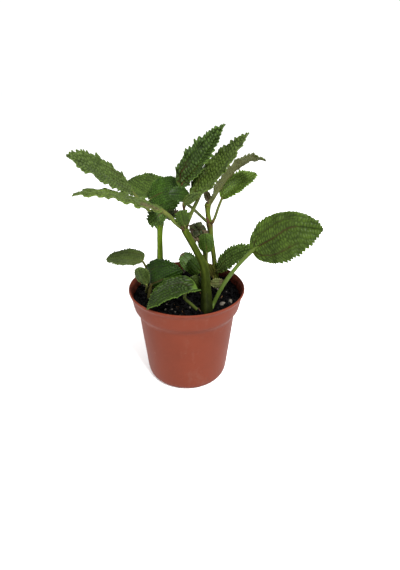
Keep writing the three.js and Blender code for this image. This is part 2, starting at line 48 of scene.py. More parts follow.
MULT = {
    'leaf_right_large': (0.543, 0.647, 0.342),
    'leaf_top_middle': (0.799, 0.855, 0.680),
    'leaf_top_left': (0.751, 0.875, 0.543),
    'leaf_upper_left': (0.681, 0.755, 0.543),
    'leaf_left_drooping': (0.438, 0.524, 0.281),
    'leaf_top_right': (0.817, 0.880, 0.628),
    'leaf_right_back': (1.239, 1.361, 0.986),
    'leaf_left_back': (0.729, 0.801, 0.587),
    'leaf_centre_front': (0.531, 0.739, 0.314),
    'leaf_centre_young': (0.451, 0.515, 0.253),
    'leaf_left_low': (0.421, 0.603, 0.164),
    'leaf_front_low': (0.600, 0.724, 0.378),
    'leaf_right_low': (1.334, 1.459, 1.045),
    'leaf_left_far': (0.888, 0.941, 0.732),
    'leaf_left_small': (0.530, 0.565, 0.481),
    'leaf_middle_round': (0.952, 1.070, 0.763),
    'leaf_middle_dark': (1.066, 1.297, 0.695),
    'leaf_middle_low': (0.801, 0.766, 0.570),
    'leaf_back_olive': (0.608, 1.057, 0.646),
    'leaf_centre_drooping': (1.000, 1.150, 0.850),
    'leaf_node_front': (0.536, 0.603, 0.272),
    'stem_front': (0.470, 0.545, 0.267),
    'stem_left': (1.487, 1.680, 0.972),
    'stem_back': (1.236, 1.230, 0.753),
    'pot': (0.751, 0.601, 0.507),
    'soil': (0.096, 0.097, 0.253),
    'other': (0.648, 0.735, 0.570),
    'stalks': (1.000, 1.000, 0.750),
    'stem_middle': (1.236, 1.230, 0.753),
    'leaf_middle_curled': (0.800, 1.000, 0.800),
    'leaf_back_young': (0.450, 0.470, 0.300),
    'leaf_base_young': (0.800, 0.850, 0.700),
}
STEMS = [
    ('stem_front', [[14.22, -28.29, 61.08, 2.97], [16.54, -32.89, 83.08, 5.4], [16.32, -23.5, 96.88, 4.6], [15.75, -22.0, 111.47, 3.7], [13.6, -20.0, 121.71, 3.1], [8.58, -18.0, 131.78, 2.9], [2.84, -16.0, 142.1, 2.8], [-1.03, -15.0, 149.99, 3.1], [-1.81, -15.0, 153.43, 2.2], [-1.76, -14.2, 159.08, 1.35], [-1.75, -12.8, 168.19, 1.05]]),
    ('stem_left', [[-21.73, 8.29, 60.16, 1.65], [-25.27, 9.64, 82.16, 3.0], [-24.85, 14.0, 99.87, 2.8], [-24.11, 14.0, 120.01, 2.6], [-23.8, 14.0, 133.55, 2.5], [-23.21, 14.0, 144.79, 2.9], [-23.03, 14.4, 150.16, 2.0]]),
    ('stem_back', [[24.19, 23.32, 61.31, 1.65], [28.13, 27.12, 83.31, 3.0], [27.58, 31.5, 93.14, 2.5], [25.66, 30.0, 108.72, 2.3], [23.39, 29.0, 123.48, 2.2], [21.16, 28.0, 139.62, 2.7], [19.62, 28.0, 149.16, 2.2], [19.21, 28.0, 157.55, 2.7], [19.17, 28.0, 160.31, 1.7]]),
    ('stem_middle', [[17.47, 16.25, 60.19, 1.265], [20.31, 18.89, 82.19, 2.3], [18.87, 15.0, 101.14, 2.1], [17.38, 16.0, 110.91, 2.0], [15.9, 17.0, 121.48, 1.7], [14.95, 18.0, 127.94, 1.4], [14.0, 18.5, 133.55, 1.1]]),
]
LEAVES = [
    {"name": "leaf_upper_left", "base": [-45.67, 12.0, 174.04], "tip": [-86.85, -20.17, 209.06], "normal": [0.7022, -0.1384, 0.6984], "width": 33.2, "bend": 13.3, "p": 0.7, "fold": 17.4, "curl": -17.6, "side": 0.0, "a": 0.52, "b": 0.57, "lobe": 0.06, "sq": 1.0, "wa": 0.0, "stalk": [[-23.86, 14.0, 146.18], [-34.49, 12.0, 160.4]], "rs": [1.6, 1.2], "stem": "stem_left"},
    {"name": "leaf_left_drooping", "base": [-19.82, -24.0, 169.94], "tip": [-82.81, -35.5, 184.15], "normal": [0.194, 0.138, 0.9713], "width": 41.9, "bend": 37.9, "p": 3.0, "fold": 6.1, "curl": -15.6, "side": -18.4, "a": 0.47, "b": 0.72, "lobe": 0.06, "sq": 1.0, "wa": -0.01, "stalk": [[-1.19, -15.0, 150.0], [-8.69, -18.5, 157.67], [-14.35, -21.5, 164.91]], "rs": [1.9, 1.5], "stem": "stem_front"},
    {"name": "leaf_top_left", "base": [-2.55, 6.0, 182.66], "tip": [29.22, 1.46, 228.98], "normal": [-0.6724, -0.6226, 0.4003], "width": 29.8, "bend": -7.2, "p": 1.16, "fold": 27.6, "curl": 6.1, "side": -17.7, "a": 0.42, "b": 0.76, "lobe": 0.16, "sq": 1.0, "wa": 0.01, "stalk": [[20.97, 28.0, 139.81], [15.33, 22.0, 146.97], [6.02, 7.0, 160.59], [-0.05, -1.0, 168.69], [-2.29, 2.5, 175.64]], "rs": [1.4, 1.2], "stem": "stem_back"},
    {"name": "leaf_top_middle", "base": [10.91, -16.0, 179.55], "tip": [47.69, -3.67, 223.84], "normal": [-0.728, -0.1922, 0.6581], "width": 43.1, "bend": -13.9, "p": 1.08, "fold": 17.0, "curl": -1.2, "side": 2.4, "a": 0.46, "b": 0.89, "lobe": 0.14, "sq": 1.0, "wa": 0.0, "stalk": [[-0.93, -15.0, 151.71], [5.0, -15.0, 166.41], [8.61, -15.5, 174.3]], "rs": [1.6, 1.3], "stem": "stem_front"},
    {"name": "leaf_top_right", "base": [21.79, 28.0, 159.02], "tip": [69.07, 33.35, 195.52], "normal": [-0.5805, 0.4352, 0.6882], "width": 33.8, "bend": 78.9, "p": 2.7, "fold": 10.7, "curl": -8.3, "side": 4.4, "a": 0.61, "b": 0.63, "lobe": 0.06, "sq": 1.0, "wa": 0.0, "stalk": [[19.33, 28.0, 155.7]], "rs": [1.4, 1.2], "stem": "stem_back"},
    {"name": "leaf_right_back", "base": [33.89, 45.0, 159.15], "tip": [67.2, 65.41, 176.22], "normal": [-0.0436, -0.5981, 0.8003], "width": 23.5, "bend": 26.7, "p": 1.09, "fold": 26.3, "curl": 8.6, "side": 2.5, "a": 0.48, "b": 0.73, "lobe": 0.06, "sq": 1.0, "wa": 0.0, "stalk": [[21.43, 28.0, 140.1], [24.77, 29.5, 142.45], [29.41, 33.5, 153.95]], "rs": [1.4, 1.15], "stem": "stem_back"},
    {"name": "leaf_right_large", "base": [54.99, -30.0, 140.21], "tip": [99.83, -50.0, 162.73], "normal": [-0.5171, -0.7911, 0.3268], "width": 38.6, "bend": 30.0, "p": 1.2, "fold": 8.0, "curl": -14.0, "side": 34.0, "a": 0.48, "b": 0.7, "lobe": 0.12, "sq": 2, "wa": -0.05, "stalk": [[18.09, -35.08, 75.16], [20.11, -31.4, 83.13], [23.08, -26.0, 87.36], [31.79, -28.5, 108.74], [43.58, -30.0, 127.55]], "rs": [1.75, 1.5], "stem": None},
    {"name": "leaf_right_low", "base": [29.4, 24.0, 93.97], "tip": [61.87, 8.35, 123.33], "normal": [-0.6952, -0.5286, 0.4872], "width": 19.8, "bend": 46.9, "p": 1.57, "fold": 7.5, "curl": -11.6, "side": 22.8, "a": 0.58, "b": 0.79, "lobe": 0.06, "sq": 1.0, "wa": 0.02, "stalk": [[28.1, 31.3, 87.24]], "rs": [1.4, 1.1], "stem": "stem_back"},
    {"name": "leaf_front_low", "base": [-1.26, -36.0, 104.52], "tip": [-32.14, -45.59, 93.43], "normal": [-0.3037, -0.1155, 0.9457], "width": 35.3, "bend": 33.2, "p": 0.7, "fold": 19.4, "curl": 11.8, "side": 6.1, "a": 0.25, "b": 0.82, "lobe": 0.32, "sq": 1.0, "wa": -0.0, "stalk": [[12.5, -31.76, 74.27], [9.64, -32.44, 82.78], [3.16, -34.0, 91.29], [-1.97, -35.6, 98.44]], "rs": [1.5, 1.3], "stem": None},
    {"name": "leaf_left_low", "base": [-30.69, -14.0, 99.87], "tip": [-4.24, -21.33, 116.38], "normal": [-0.2555, -0.9666, -0.0199], "width": 38.4, "bend": 57.2, "p": 0.7, "fold": -15.2, "curl": -44.5, "side": 17.8, "a": 0.25, "b": 0.64, "lobe": 0.2, "sq": 1.0, "wa": 0.07, "stalk": [[-35.25, -7.23, 74.09], [-34.33, -8.6, 82.94]], "rs": [1.7, 1.4], "stem": None},
    {"name": "leaf_left_far", "base": [-39.28, -2.0, 116.91], "tip": [-70.82, 3.3, 116.23], "normal": [-0.0424, -0.1263, 0.9911], "width": 28.2, "bend": -0.8, "p": 1.2, "fold": 13.7, "curl": -2.9, "side": -8.4, "a": 0.32, "b": 0.54, "lobe": 0.06, "sq": 1.0, "wa": -0.0, "stalk": [[-29.52, 10.55, 73.75], [-30.36, 8.97, 82.57], [-35.65, -1.0, 109.22]], "rs": [1.2, 1.0], "stem": None},
    {"name": "leaf_centre_front", "base": [-30.61, 18.0, 166.44], "tip": [-2.78, 13.56, 176.33], "normal": [-0.3119, -0.7948, 0.5207], "width": 35.0, "bend": 28.5, "p": 0.86, "fold": -2.2, "curl": -31.1, "side": 15.1, "a": 0.4, "b": 0.56, "lobe": 0.1, "sq": 1.0, "wa": -0.02, "stalk": [[-23.4, 14.2, 149.32], [-27.6, 16.5, 158.52]], "rs": [1.6, 1.2], "stem": "stem_left"},
    {"name": "leaf_left_back", "base": [-27.75, 30.0, 164.85], "tip": [-53.96, 55.3, 172.23], "normal": [-0.0488, -0.3258, 0.9442], "width": 41.1, "bend": -25.1, "p": 0.8, "fold": 19.8, "curl": 7.1, "side": 2.6, "a": 0.3, "b": 0.5, "lobe": 0.06, "sq": 1.0, "wa": -0.01, "stalk": [[-22.85, 14.3, 150.19], [-24.49, 24.0, 157.96]], "rs": [1.4, 1.1], "stem": "stem_left"},
    {"name": "leaf_centre_young", "base": [2.05, -11.0, 176.85], "tip": [-13.56, -18.5, 180.84], "normal": [0.4738, -0.8306, 0.2928], "width": 12.4, "bend": 20.0, "p": 1.2, "fold": 6.0, "curl": -26.0, "side": -18.0, "a": 0.45, "b": 0.6, "lobe": 0.06, "sq": 1.0, "wa": 0.0, "stalk": [[-1.75, -12.8, 167.78], [0.28, -12.0, 172.85]], "rs": [0.95, 0.85], "stem": "stem_front"},
    {"name": "leaf_centre_pale", "base": [-2.41, -15.8, 172.31], "tip": [9.2, -21.0, 181.76], "normal": [-0.4962, -0.8572, 0.1382], "width": 7.6, "bend": 20.0, "p": 1.2, "fold": 6.0, "curl": -20.0, "side": 0.0, "a": 0.45, "b": 0.55, "lobe": 0.06, "sq": 1.0, "wa": 0.0, "stalk": [[-1.77, -13.0, 166.19]], "rs": [0.95, 0.85], "stem": "stem_front"},
    {"name": "leaf_centre_drooping", "base": [-17.96, -3.0, 162.57], "tip": [-30.15, -13.0, 154.85], "normal": [0.3317, -0.7956, 0.5069], "width": 15.5, "bend": 40.0, "p": 1.2, "fold": 4.0, "curl": -40.0, "side": 0.0, "a": 0.45, "b": 0.5, "lobe": 0.06, "sq": 1.0, "wa": 0.0, "stalk": [[-22.82, 14.0, 145.71], [-18.21, 6.0, 153.48]], "rs": [1.3, 1.0], "stem": "stem_left"},
    {"name": "leaf_centre_small", "base": [-17.19, 8.0, 153.24], "tip": [-6.5, 3.0, 158.77], "normal": [-0.5522, -0.7249, 0.4117], "width": 9.0, "bend": 30.0, "p": 1.2, "fold": 10.0, "curl": -20.0, "side": 0.0, "a": 0.5, "b": 0.6, "lobe": 0.06, "sq": 1.0, "wa": 0.0, "stalk": [[-22.22, 13.6, 147.23]], "rs": [1.1, 0.8], "stem": "stem_left"},
    {"name": "leaf_node_front", "base": [-1.46, -19.5, 155.49], "tip": [-4.14, -22.0, 168.62], "normal": [0.1183, -0.9796, -0.1624], "width": 12.5, "bend": 14.0, "p": 1.2, "fold": 12.0, "curl": -40.0, "side": 0.0, "a": 0.5, "b": 0.5, "lobe": 0.06, "sq": 1.0, "wa": 0.0, "stalk": [[-1.5, -15.5, 151.47]], "rs": [1.0, 0.9], "stem": "stem_front"},
    {"name": "leaf_left_small", "base": [-34.56, -19.0, 102.2], "tip": [-40.47, -22.0, 119.35], "normal": [0.1643, -0.9797, -0.1148], "width": 15.0, "bend": 30.0, "p": 1.2, "fold": -16.0, "curl": -40.0, "side": 0.0, "a": 0.45, "b": 0.5, "lobe": 0.06, "sq": 1.0, "wa": 0.0, "stalk": [[-37.65, 4.89, 74.87], [-37.19, 1.32, 83.12]], "rs": [1.2, 1.0], "stem": None},
    {"name": "leaf_middle_round", "base": [18.47, 12.0, 118.18], "tip": [16.27, 9.0, 137.39], "normal": [0.0146, -0.9882, -0.1526], "width": 15.5, "bend": 20.0, "p": 1.2, "fold": 0.0, "curl": -30.0, "side": 0.0, "a": 0.42, "b": 0.42, "lobe": 0.06, "sq": 1.0, "wa": 0.0, "stalk": [[18.17, 15.5, 106.05]], "rs": [1.2, 1.0], "stem": "stem_middle"},
    {"name": "leaf_middle_curled", "base": [15.95, 17.5, 141.06], "tip": [3.82, 13.5, 130.76], "normal": [-0.126, -0.8656, 0.4846], "width": 15.5, "bend": 50.0, "p": 1.2, "fold": 6.0, "curl": -50.0, "side": 0.0, "a": 0.45, "b": 0.55, "lobe": 0.06, "sq": 1.0, "wa": 0.0, "stalk": [[14.01, 18.4, 132.63]], "rs": [1.0, 0.8], "stem": "stem_middle"},
    {"name": "leaf_back_olive", "base": [8.64, 16.0, 98.65], "tip": [-4.8, 22.0, 112.42], "normal": [0.1888, -0.8194, 0.5413], "width": 17.0, "bend": 24.0, "p": 1.2, "fold": 6.0, "curl": -30.0, "side": 0.0, "a": 0.45, "b": 0.5, "lobe": 0.06, "sq": 1.0, "wa": 0.0, "stalk": [[18.92, 14.4, 96.23]], "rs": [1.2, 1.0], "stem": "stem_middle"},
    {"name": "leaf_middle_dark", "base": [12.37, 2.0, 103.43], "tip": [2.45, -3.0, 117.67], "normal": [0.4858, -0.8735, 0.0316], "width": 17.0, "bend": 24.0, "p": 1.2, "fold": 4.0, "curl": -30.0, "side": 0.0, "a": 0.45, "b": 0.45, "lobe": 0.06, "sq": 1.0, "wa": 0.0, "stalk": [[16.12, 6.66, 72.77], [15.48, 5.87, 81.71]], "rs": [1.2, 1.0], "stem": None},
    {"name": "leaf_middle_low", "base": [14.18, -13.0, 93.11], "tip": [3.14, -18.0, 108.12], "normal": [0.3295, -0.9415, -0.0711], "width": 14.0, "bend": 20.0, "p": 1.2, "fold": 6.0, "curl": -30.0, "side": 0.0, "a": 0.45, "b": 0.5, "lobe": 0.06, "sq": 1.0, "wa": 0.0, "stalk": [[15.51, -15.55, 72.95], [15.13, -14.83, 81.91]], "rs": [1.2, 1.0], "stem": None},
    {"name": "leaf_base_young", "base": [21.44, -8.0, 97.4], "tip": [32.89, -9.0, 98.83], "normal": [-0.1021, -0.9865, 0.1277], "width": 9.0, "bend": 50.0, "p": 1.2, "fold": 16.0, "curl": -30.0, "side": 0.0, "a": 0.5, "b": 0.6, "lobe": 0.06, "sq": 1.0, "wa": 0.0, "stalk": [[20.61, 1.77, 73.13], [20.78, -0.29, 81.89]], "rs": [0.9, 0.8], "stem": None},
    {"name": "leaf_back_young", "base": [25.13, 24.5, 87.94], "tip": [19.74, 22.0, 102.49], "normal": [0.4742, -0.88, 0.0246], "width": 8.0, "bend": 20.0, "p": 1.2, "fold": 24.0, "curl": -10.0, "side": 0.0, "a": 0.5, "b": 0.6, "lobe": 0.06, "sq": 1.0, "wa": 0.0, "stalk": [[26.75, 26.45, 74.13], [25.99, 25.53, 83.05]], "rs": [1.0, 0.9], "stem": None},
    {"name": "leaf_top_bud", "base": [19.19, 24.0, 163.33], "tip": [15.82, 20.0, 172.91], "normal": [0.4866, -0.8538, -0.185], "width": 7.0, "bend": 30.0, "p": 1.2, "fold": 26.0, "curl": -10.0, "side": 0.0, "a": 0.5, "b": 0.6, "lobe": 0.06, "sq": 1.0, "wa": 0.0, "stalk": [[19.41, 28.0, 156.62]], "rs": [0.9, 0.8], "stem": "stem_back"},
]
GRAINS = [("grain_1", (31.2, -21.6, 83.8), (3.1, 2.1, 1.7)), ("grain_2", (38.3, -17.4, 83.9), (2.9, 1.9, 1.6))]
SLOTS = {n: "leaf_young" for n in ("leaf_left_small", "leaf_node_front", "leaf_base_young", "leaf_middle_round", "leaf_back_olive", "leaf_back_young", "leaf_top_bud", "leaf_centre_pale")}
SLOTS.update({n: "leaf_withered" for n in ("leaf_middle_curled", "leaf_centre_small")})

RAD = math.pi / 180.0


def unit(v):
    v = np.asarray(v, float)
    return v / max(1e-12, float(np.linalg.norm(v)))


def smooth(a, b, x):
    k = np.clip((x - a) / (b - a), 0.0, 1.0)
    return k * k * (3 - 2 * k)


# ---------------------------------------------------------------- noise
def hash3(i, j, k, seed):
    h = (i * 374761393 + j * 668265263 + k * 2147483647 + seed * 974634777) & 0xFFFFFFFF
    h = ((h ^ (h >> 13)) * 1274126177) & 0xFFFFFFFF
    h = (h ^ (h >> 16)) & 0xFFFFFFFF
    return h / 4294967295.0


def value_noise(p, scale, seed=0):
    """Smooth noise in 0..1 on points p (n, 3), with features of about scale."""
    q = np.asarray(p, float) / scale
    c = np.floor(q).astype(np.int64)
    f = q - c
    f = f * f * (3 - 2 * f)
    out = 0.0
    for dx in (0, 1):
        for dy in (0, 1):
            for dz in (0, 1):
                w = (f[:, 0] if dx else 1 - f[:, 0]) * (f[:, 1] if dy else 1 - f[:, 1]) * (f[:, 2] if dz else 1 - f[:, 2])
                out = out + w * hash3(c[:, 0] + dx, c[:, 1] + dy, c[:, 2] + dz, seed)
    return out


def fbm(p, scale, seed=0, octaves=3):
    s, a, t = 0.0, 1.0, 0.0
    for o in range(octaves):
        s = s + a * value_noise(p, scale / 2 ** o, seed + 17 * o)
        t += a
        a *= 0.5
    return s / t


def cells(q1, q2, seed, jitter=0.62):
    """Distance to the nearest and second nearest of a jittered lattice of points, and the nearest one's number."""
    i0, j0 = np.floor(q1).astype(np.int64), np.floor(q2).astype(np.int64)
    f1 = np.full(q1.shape, 9.0)
    f2 = np.full(q1.shape, 9.0)
    who = np.zeros(q1.shape)
    for di in (-1, 0, 1):
        for dj in (-1, 0, 1):
            i, j = i0 + di, j0 + dj
            a = i + 0.5 + jitter * (hash3(i, j, 3, seed) - 0.5)
            b = j + 0.5 + jitter * (hash3(i, j, 7, seed) - 0.5)
            d = np.hypot(q1 - a, q2 - b)
            near = d < f1
            f2 = np.where(near, f1, np.minimum(f2, d))
            who = np.where(near, hash3(i, j, 11, seed), who)
            f1 = np.where(near, d, f1)
    return f1, f2, who


# ---------------------------------------------------------------- curves
def spline(points):
    """A centripetal Catmull-Rom curve through the points, as a function of t in 0..1."""
    P = np.asarray(points, float)
    n = len(P)

    def at(t):
        x = min(max(t, 0.0), 1.0) * (n - 1)
        i = min(n - 2, int(x))
        w = x - i
        p1, p2 = P[i], P[i + 1]
        p0 = P[i - 1] if i > 0 else 2 * P[0] - P[1]
        p3 = P[i + 2] if i + 2 < n else 2 * P[-1] - P[-2]
        d0, d1, d2 = (max(1e-4, float(np.linalg.norm(b - a))) ** 0.5 for a, b in ((p0, p1), (p1, p2), (p2, p3)))
        t1 = ((p1 - p0) / d0 - (p2 - p0) / (d0 + d1) + (p2 - p1) / d1) * d1
        t2 = ((p2 - p1) / d1 - (p3 - p1) / (d1 + d2) + (p3 - p2) / d2) * d1
        return p1 + t1 * w + (-3 * p1 + 3 * p2 - 2 * t1 - t2) * w * w + (2 * p1 - 2 * p2 + t1 + t2) * w ** 3

    return at


class Soup:
    """Vertices, faces and per-vertex masks of one piece, gathered before the mesh is made."""

    def __init__(self, masks):
        self.v, self.f, self.n, self.flat = [], [], 0, []
        self.names = masks
        self.m = {k: [] for k in masks}

    def add(self, verts, faces, flat=False, **masks):
        verts = np.asarray(verts, float).reshape(-1, 3)
        self.v.append(verts)
        self.f.extend([tuple(i + self.n for i in q) for q in faces])
        self.flat.extend([flat] * len(faces))
        for k in self.names:
            x = masks.get(k, 0.0)
            self.m[k].append(np.broadcast_to(np.asarray(x, float).reshape(-1) if np.ndim(x) else np.full(1, float(x)), (len(verts),)).copy())
        self.n += len(verts)

    def make(self, name, material):
        v = np.concatenate(self.v) * MM
        mesh = bpy.data.meshes.new(name)
        mesh.from_pydata(v.tolist(), [], self.f)
        for k in self.names:
            a = mesh.attributes.new(k, "FLOAT", "POINT")
            a.data.foreach_set("value", np.concatenate(self.m[k]).astype(np.float32))
        mesh.polygons.foreach_set("use_smooth", [not q for q in self.flat])
        mesh.materials.append(material)
        bm = bmesh.new()
        bm.from_mesh(mesh)
        bmesh.ops.recalc_face_normals(bm, faces=bm.faces)
        bm.to_mesh(mesh)
        bm.free()
        mesh.update()
        o = bpy.data.objects.new(name, mesh)
        bpy.context.scene.collection.objects.link(o)
        return o


def grid_faces(rows, cols, wrap):
    out = []
    for i in range(rows - 1):
        for j in range(cols if wrap else cols - 1):
            k = (j + 1) % cols
            out.append((i * cols + j, i * cols + k, (i + 1) * cols + k, (i + 1) * cols + j))
    return out


def tube(soup, at, radius, rows, sides, seed=0, ridges=0, ridge=0.0, flat=0.0, masks=None, wobble=0.04, caps=True):
    """A closed round bar along the curve at(t), with lengthwise ridges and a little unevenness. radius is a function of t."""
    ts = np.linspace(0, 1, rows)
    C = np.array([at(t) for t in ts])
    T = np.gradient(C, axis=0)
    T /= np.linalg.norm(T, axis=1)[:, None]
    n = unit(np.cross(T[0], [0.3, 1.0, 0.2]))
    N = []
    for k in range(rows):
        n = unit(n - T[k] * float(n @ T[k]))
        N.append(n)
    N = np.array(N)
    B = np.cross(T, N)
    th = np.linspace(0, 2 * np.pi, sides, endpoint=False)
    r = np.array([radius(t) for t in ts])[:, None] * np.ones((1, sides))
    if ridges:
        r = r * (1 + ridge * np.cos(ridges * th)[None, :])
    V = C[:, None, :] + r[..., None] * (np.cos(th)[None, :, None] * N[:, None, :] + np.sin(th)[None, :, None] * B[:, None, :])
    noise = fbm(V.reshape(-1, 3), 5.0, seed).reshape(rows, sides) - 0.5
    V = V + (noise * wobble * 2 * r)[..., None] * (V - C[:, None, :]) / np.maximum(1e-6, r)[..., None]
    verts = V.reshape(-1, 3)
    faces = grid_faces(rows, sides, True)
    verts = np.vstack([verts, C[0], C[-1]])
    a, b = len(verts) - 2, len(verts) - 1
    for j in range(sides):
        k = (j + 1) % sides
        faces.append((a, k, j))
        faces.append((b, (rows - 1) * sides + j, (rows - 1) * sides + k))
    m = {}
    for key, fn in (masks or {}).items():
        x = fn(ts[:, None] * np.ones((1, sides)), th[None, :] * np.ones((rows, 1)))
        x = np.asarray(x, float) * np.ones((rows, sides))
        m[key] = np.concatenate([x.reshape(-1), [x[0].mean(), x[-1].mean()]])
    soup.add(verts, faces, **m)


# ---------------------------------------------------------------- leaves
def outline(t, a, b):
    tm = a / (a + b)
    return np.power(np.clip(t, 0, 1), a) * np.power(np.clip(1 - t, 0, 1), b) / (tm ** a * (1 - tm) ** b)


def midrib(L):
    N = 240
    B, tip = np.array(L["base"], float), np.array(L["tip"], float)
    c = tip - B
    length = float(np.linalg.norm(c))
    c = c / length
    n = np.array(L["normal"], float)
    n = unit(n - c * float(n @ c))
    side = np.cross(n, c)
    bend, g, p, sq = L["bend"] * RAD, L["side"] * RAD, L["p"], L["sq"]
    mid = (np.arange(N) + 0.5) / N
    lo, hi = -3.0, 3.0
    for _ in range(50):
        start = (lo + hi) / 2
        if np.sin(start - bend * mid ** p).sum() > 0:
            hi = start
        else:
            lo = start

    def direction(t):
        th, ps = start - bend * t ** p, g * (1 / (sq + 1) - t ** sq)
        return np.outer(np.cos(th) * np.cos(ps), c) + np.outer(np.sin(th), n) + np.outer(np.cos(th) * np.sin(ps), side)

    P = np.vstack([[0, 0, 0], np.cumsum(direction(mid), 0)])
    P = P * (length / np.linalg.norm(P[-1])) + B
    te = np.arange(N + 1) / N
    T = direction(te)
    U = n - (T @ n)[:, None] * T
    U /= np.linalg.norm(U, axis=1)[:, None]
    S = np.cross(U, T)
    step = np.linalg.norm(np.diff(P, axis=0), axis=1)
    arc = np.concatenate([[0], np.cumsum(step)])

    def frame_at(t):
        f = lambda A: np.stack([np.interp(t, te, A[:, i]) for i in range(3)], -1)
        return f(P), f(T), f(U), f(S), np.interp(t, te, arc)

    return frame_at, float(arc[-1])


def half_width(L, t, s):
    w = (L["width"] / 2) * outline(t, L["a"], L["b"]) * (1 + L["wa"] * s)
    w = w * (1 + np.where(s < 0, WIDEN.get(L["name"], (0, 0))[0], WIDEN.get(L["name"], (0, 0))[1]) * np.exp(-(t / 0.2) ** 2))
    return np.maximum(w, np.where(t < 0.5, 0.7, 0.12))


def surface(L, frame_at, t, v, look):
    """Middle surface of the blade at t (rows) and v (columns), with its width and its distances in the leaf."""
    M, T, U, S, arc = frame_at(t)
    s = np.where(v < 0, -1.0, 1.0)
    m = np.abs(v)
    w = half_width(L, t, s)
    fold = L["fold"] * RAD
    curl = L["curl"] * RAD if abs(L["curl"]) > 0.1 else 0.1 * RAD
    y = w * (np.sin(fold + curl * m) - np.sin(fold)) / curl
    z = w * (np.cos(fold) - np.cos(fold + curl * m)) / curl
    back = -L["lobe"] * L["width"] * m * m * (1 - t) ** 5
    P = M + (s * y)[..., None] * S + z[..., None] * U + back[..., None] * T
    return P, T, U, S, arc, w, s, m


def scrap(soup, base, tip, width, bulge, seed, dry=0.3, crumple=1.0):
    """A small crumpled lobe of withered blade: a closed thin sheet with a ragged margin."""
    base, tip, bulge = np.array(base, float), np.array(tip, float), unit(bulge)
    ax = tip - base
    ln = float(np.linalg.norm(ax))
    ax = ax / ln
    bulge = unit(bulge - ax * float(ax @ bulge))
    sd = np.cross(ax, bulge)
    nt, nv = 30, 19
    t, v = np.meshgrid(np.linspace(0, 1, nt), np.linspace(-1, 1, nv), indexing="ij")
    q = np.stack([t * ln + seed * 3.1, v * width * 0.5, 0 * t], -1).reshape(-1, 3)
    ragged = fbm(q, 1.5, seed, 2).reshape(t.shape) - 0.5
    w = width / 2 * outline(0.05 + 0.91 * t, 0.4, 0.5) * (1 + 0.9 * ragged * np.abs(v))
    P = base + (t * ln)[..., None] * ax + (w * v)[..., None] * sd + (ln * 0.3 * np.sin(np.pi * t) - 0.5 * w * v * v)[..., None] * bulge
    folds = fbm(q, 3.4, seed + 3, 3).reshape(t.shape) - 0.5
    P = P + (folds * 4.2 * crumple)[..., None] * bulge + ((fbm(q, 4.5, seed + 8, 2).reshape(t.shape) - 0.5) * 3.0 * crumple)[..., None] * sd
    dt, dv = np.gradient(P, axis=0), np.gradient(P, axis=1)
    nrm = np.cross(dt, dv)
    nrm /= np.maximum(1e-9, np.linalg.norm(nrm, axis=-1))[..., None]
    h = 0.22 * (1 - v ** 6)
    top, low = P + h[..., None] * nrm, P - h[..., None] * nrm
    ring = [[top[i, j] for j in range(nv)] + [low[i, j] for j in range(nv - 2, 0, -1)] for i in range(nt)]
    cols = 2 * nv - 2
    faces = grid_faces(nt, cols, True)
    faces.append(tuple(range(cols))[::-1])
    faces.append(tuple(range((nt - 1) * cols, nt * cols)))
    loop = lambda a: np.array([[a[i, j] for j in range(nv)] + [a[i, j] for j in range(nv - 2, 0, -1)] for i in range(nt)]).reshape(-1)
    brown = np.clip(dry * (0.4 + 1.2 * smooth(0.35, 0.65, folds + 0.5)) + 0.6 * smooth(0.8, 1.0, np.abs(v)), 0, 1)
    soup.add(np.array(ring).reshape(-1, 3), faces, vein=0.0, quilt=loop(smooth(-0.25, 0.25, ragged + folds)), rim=loop(0.5 * smooth(0.75, 1.0, np.abs(v))),
             under=0.0, dry=loop(brown), stalk=0.0, along=loop(t))


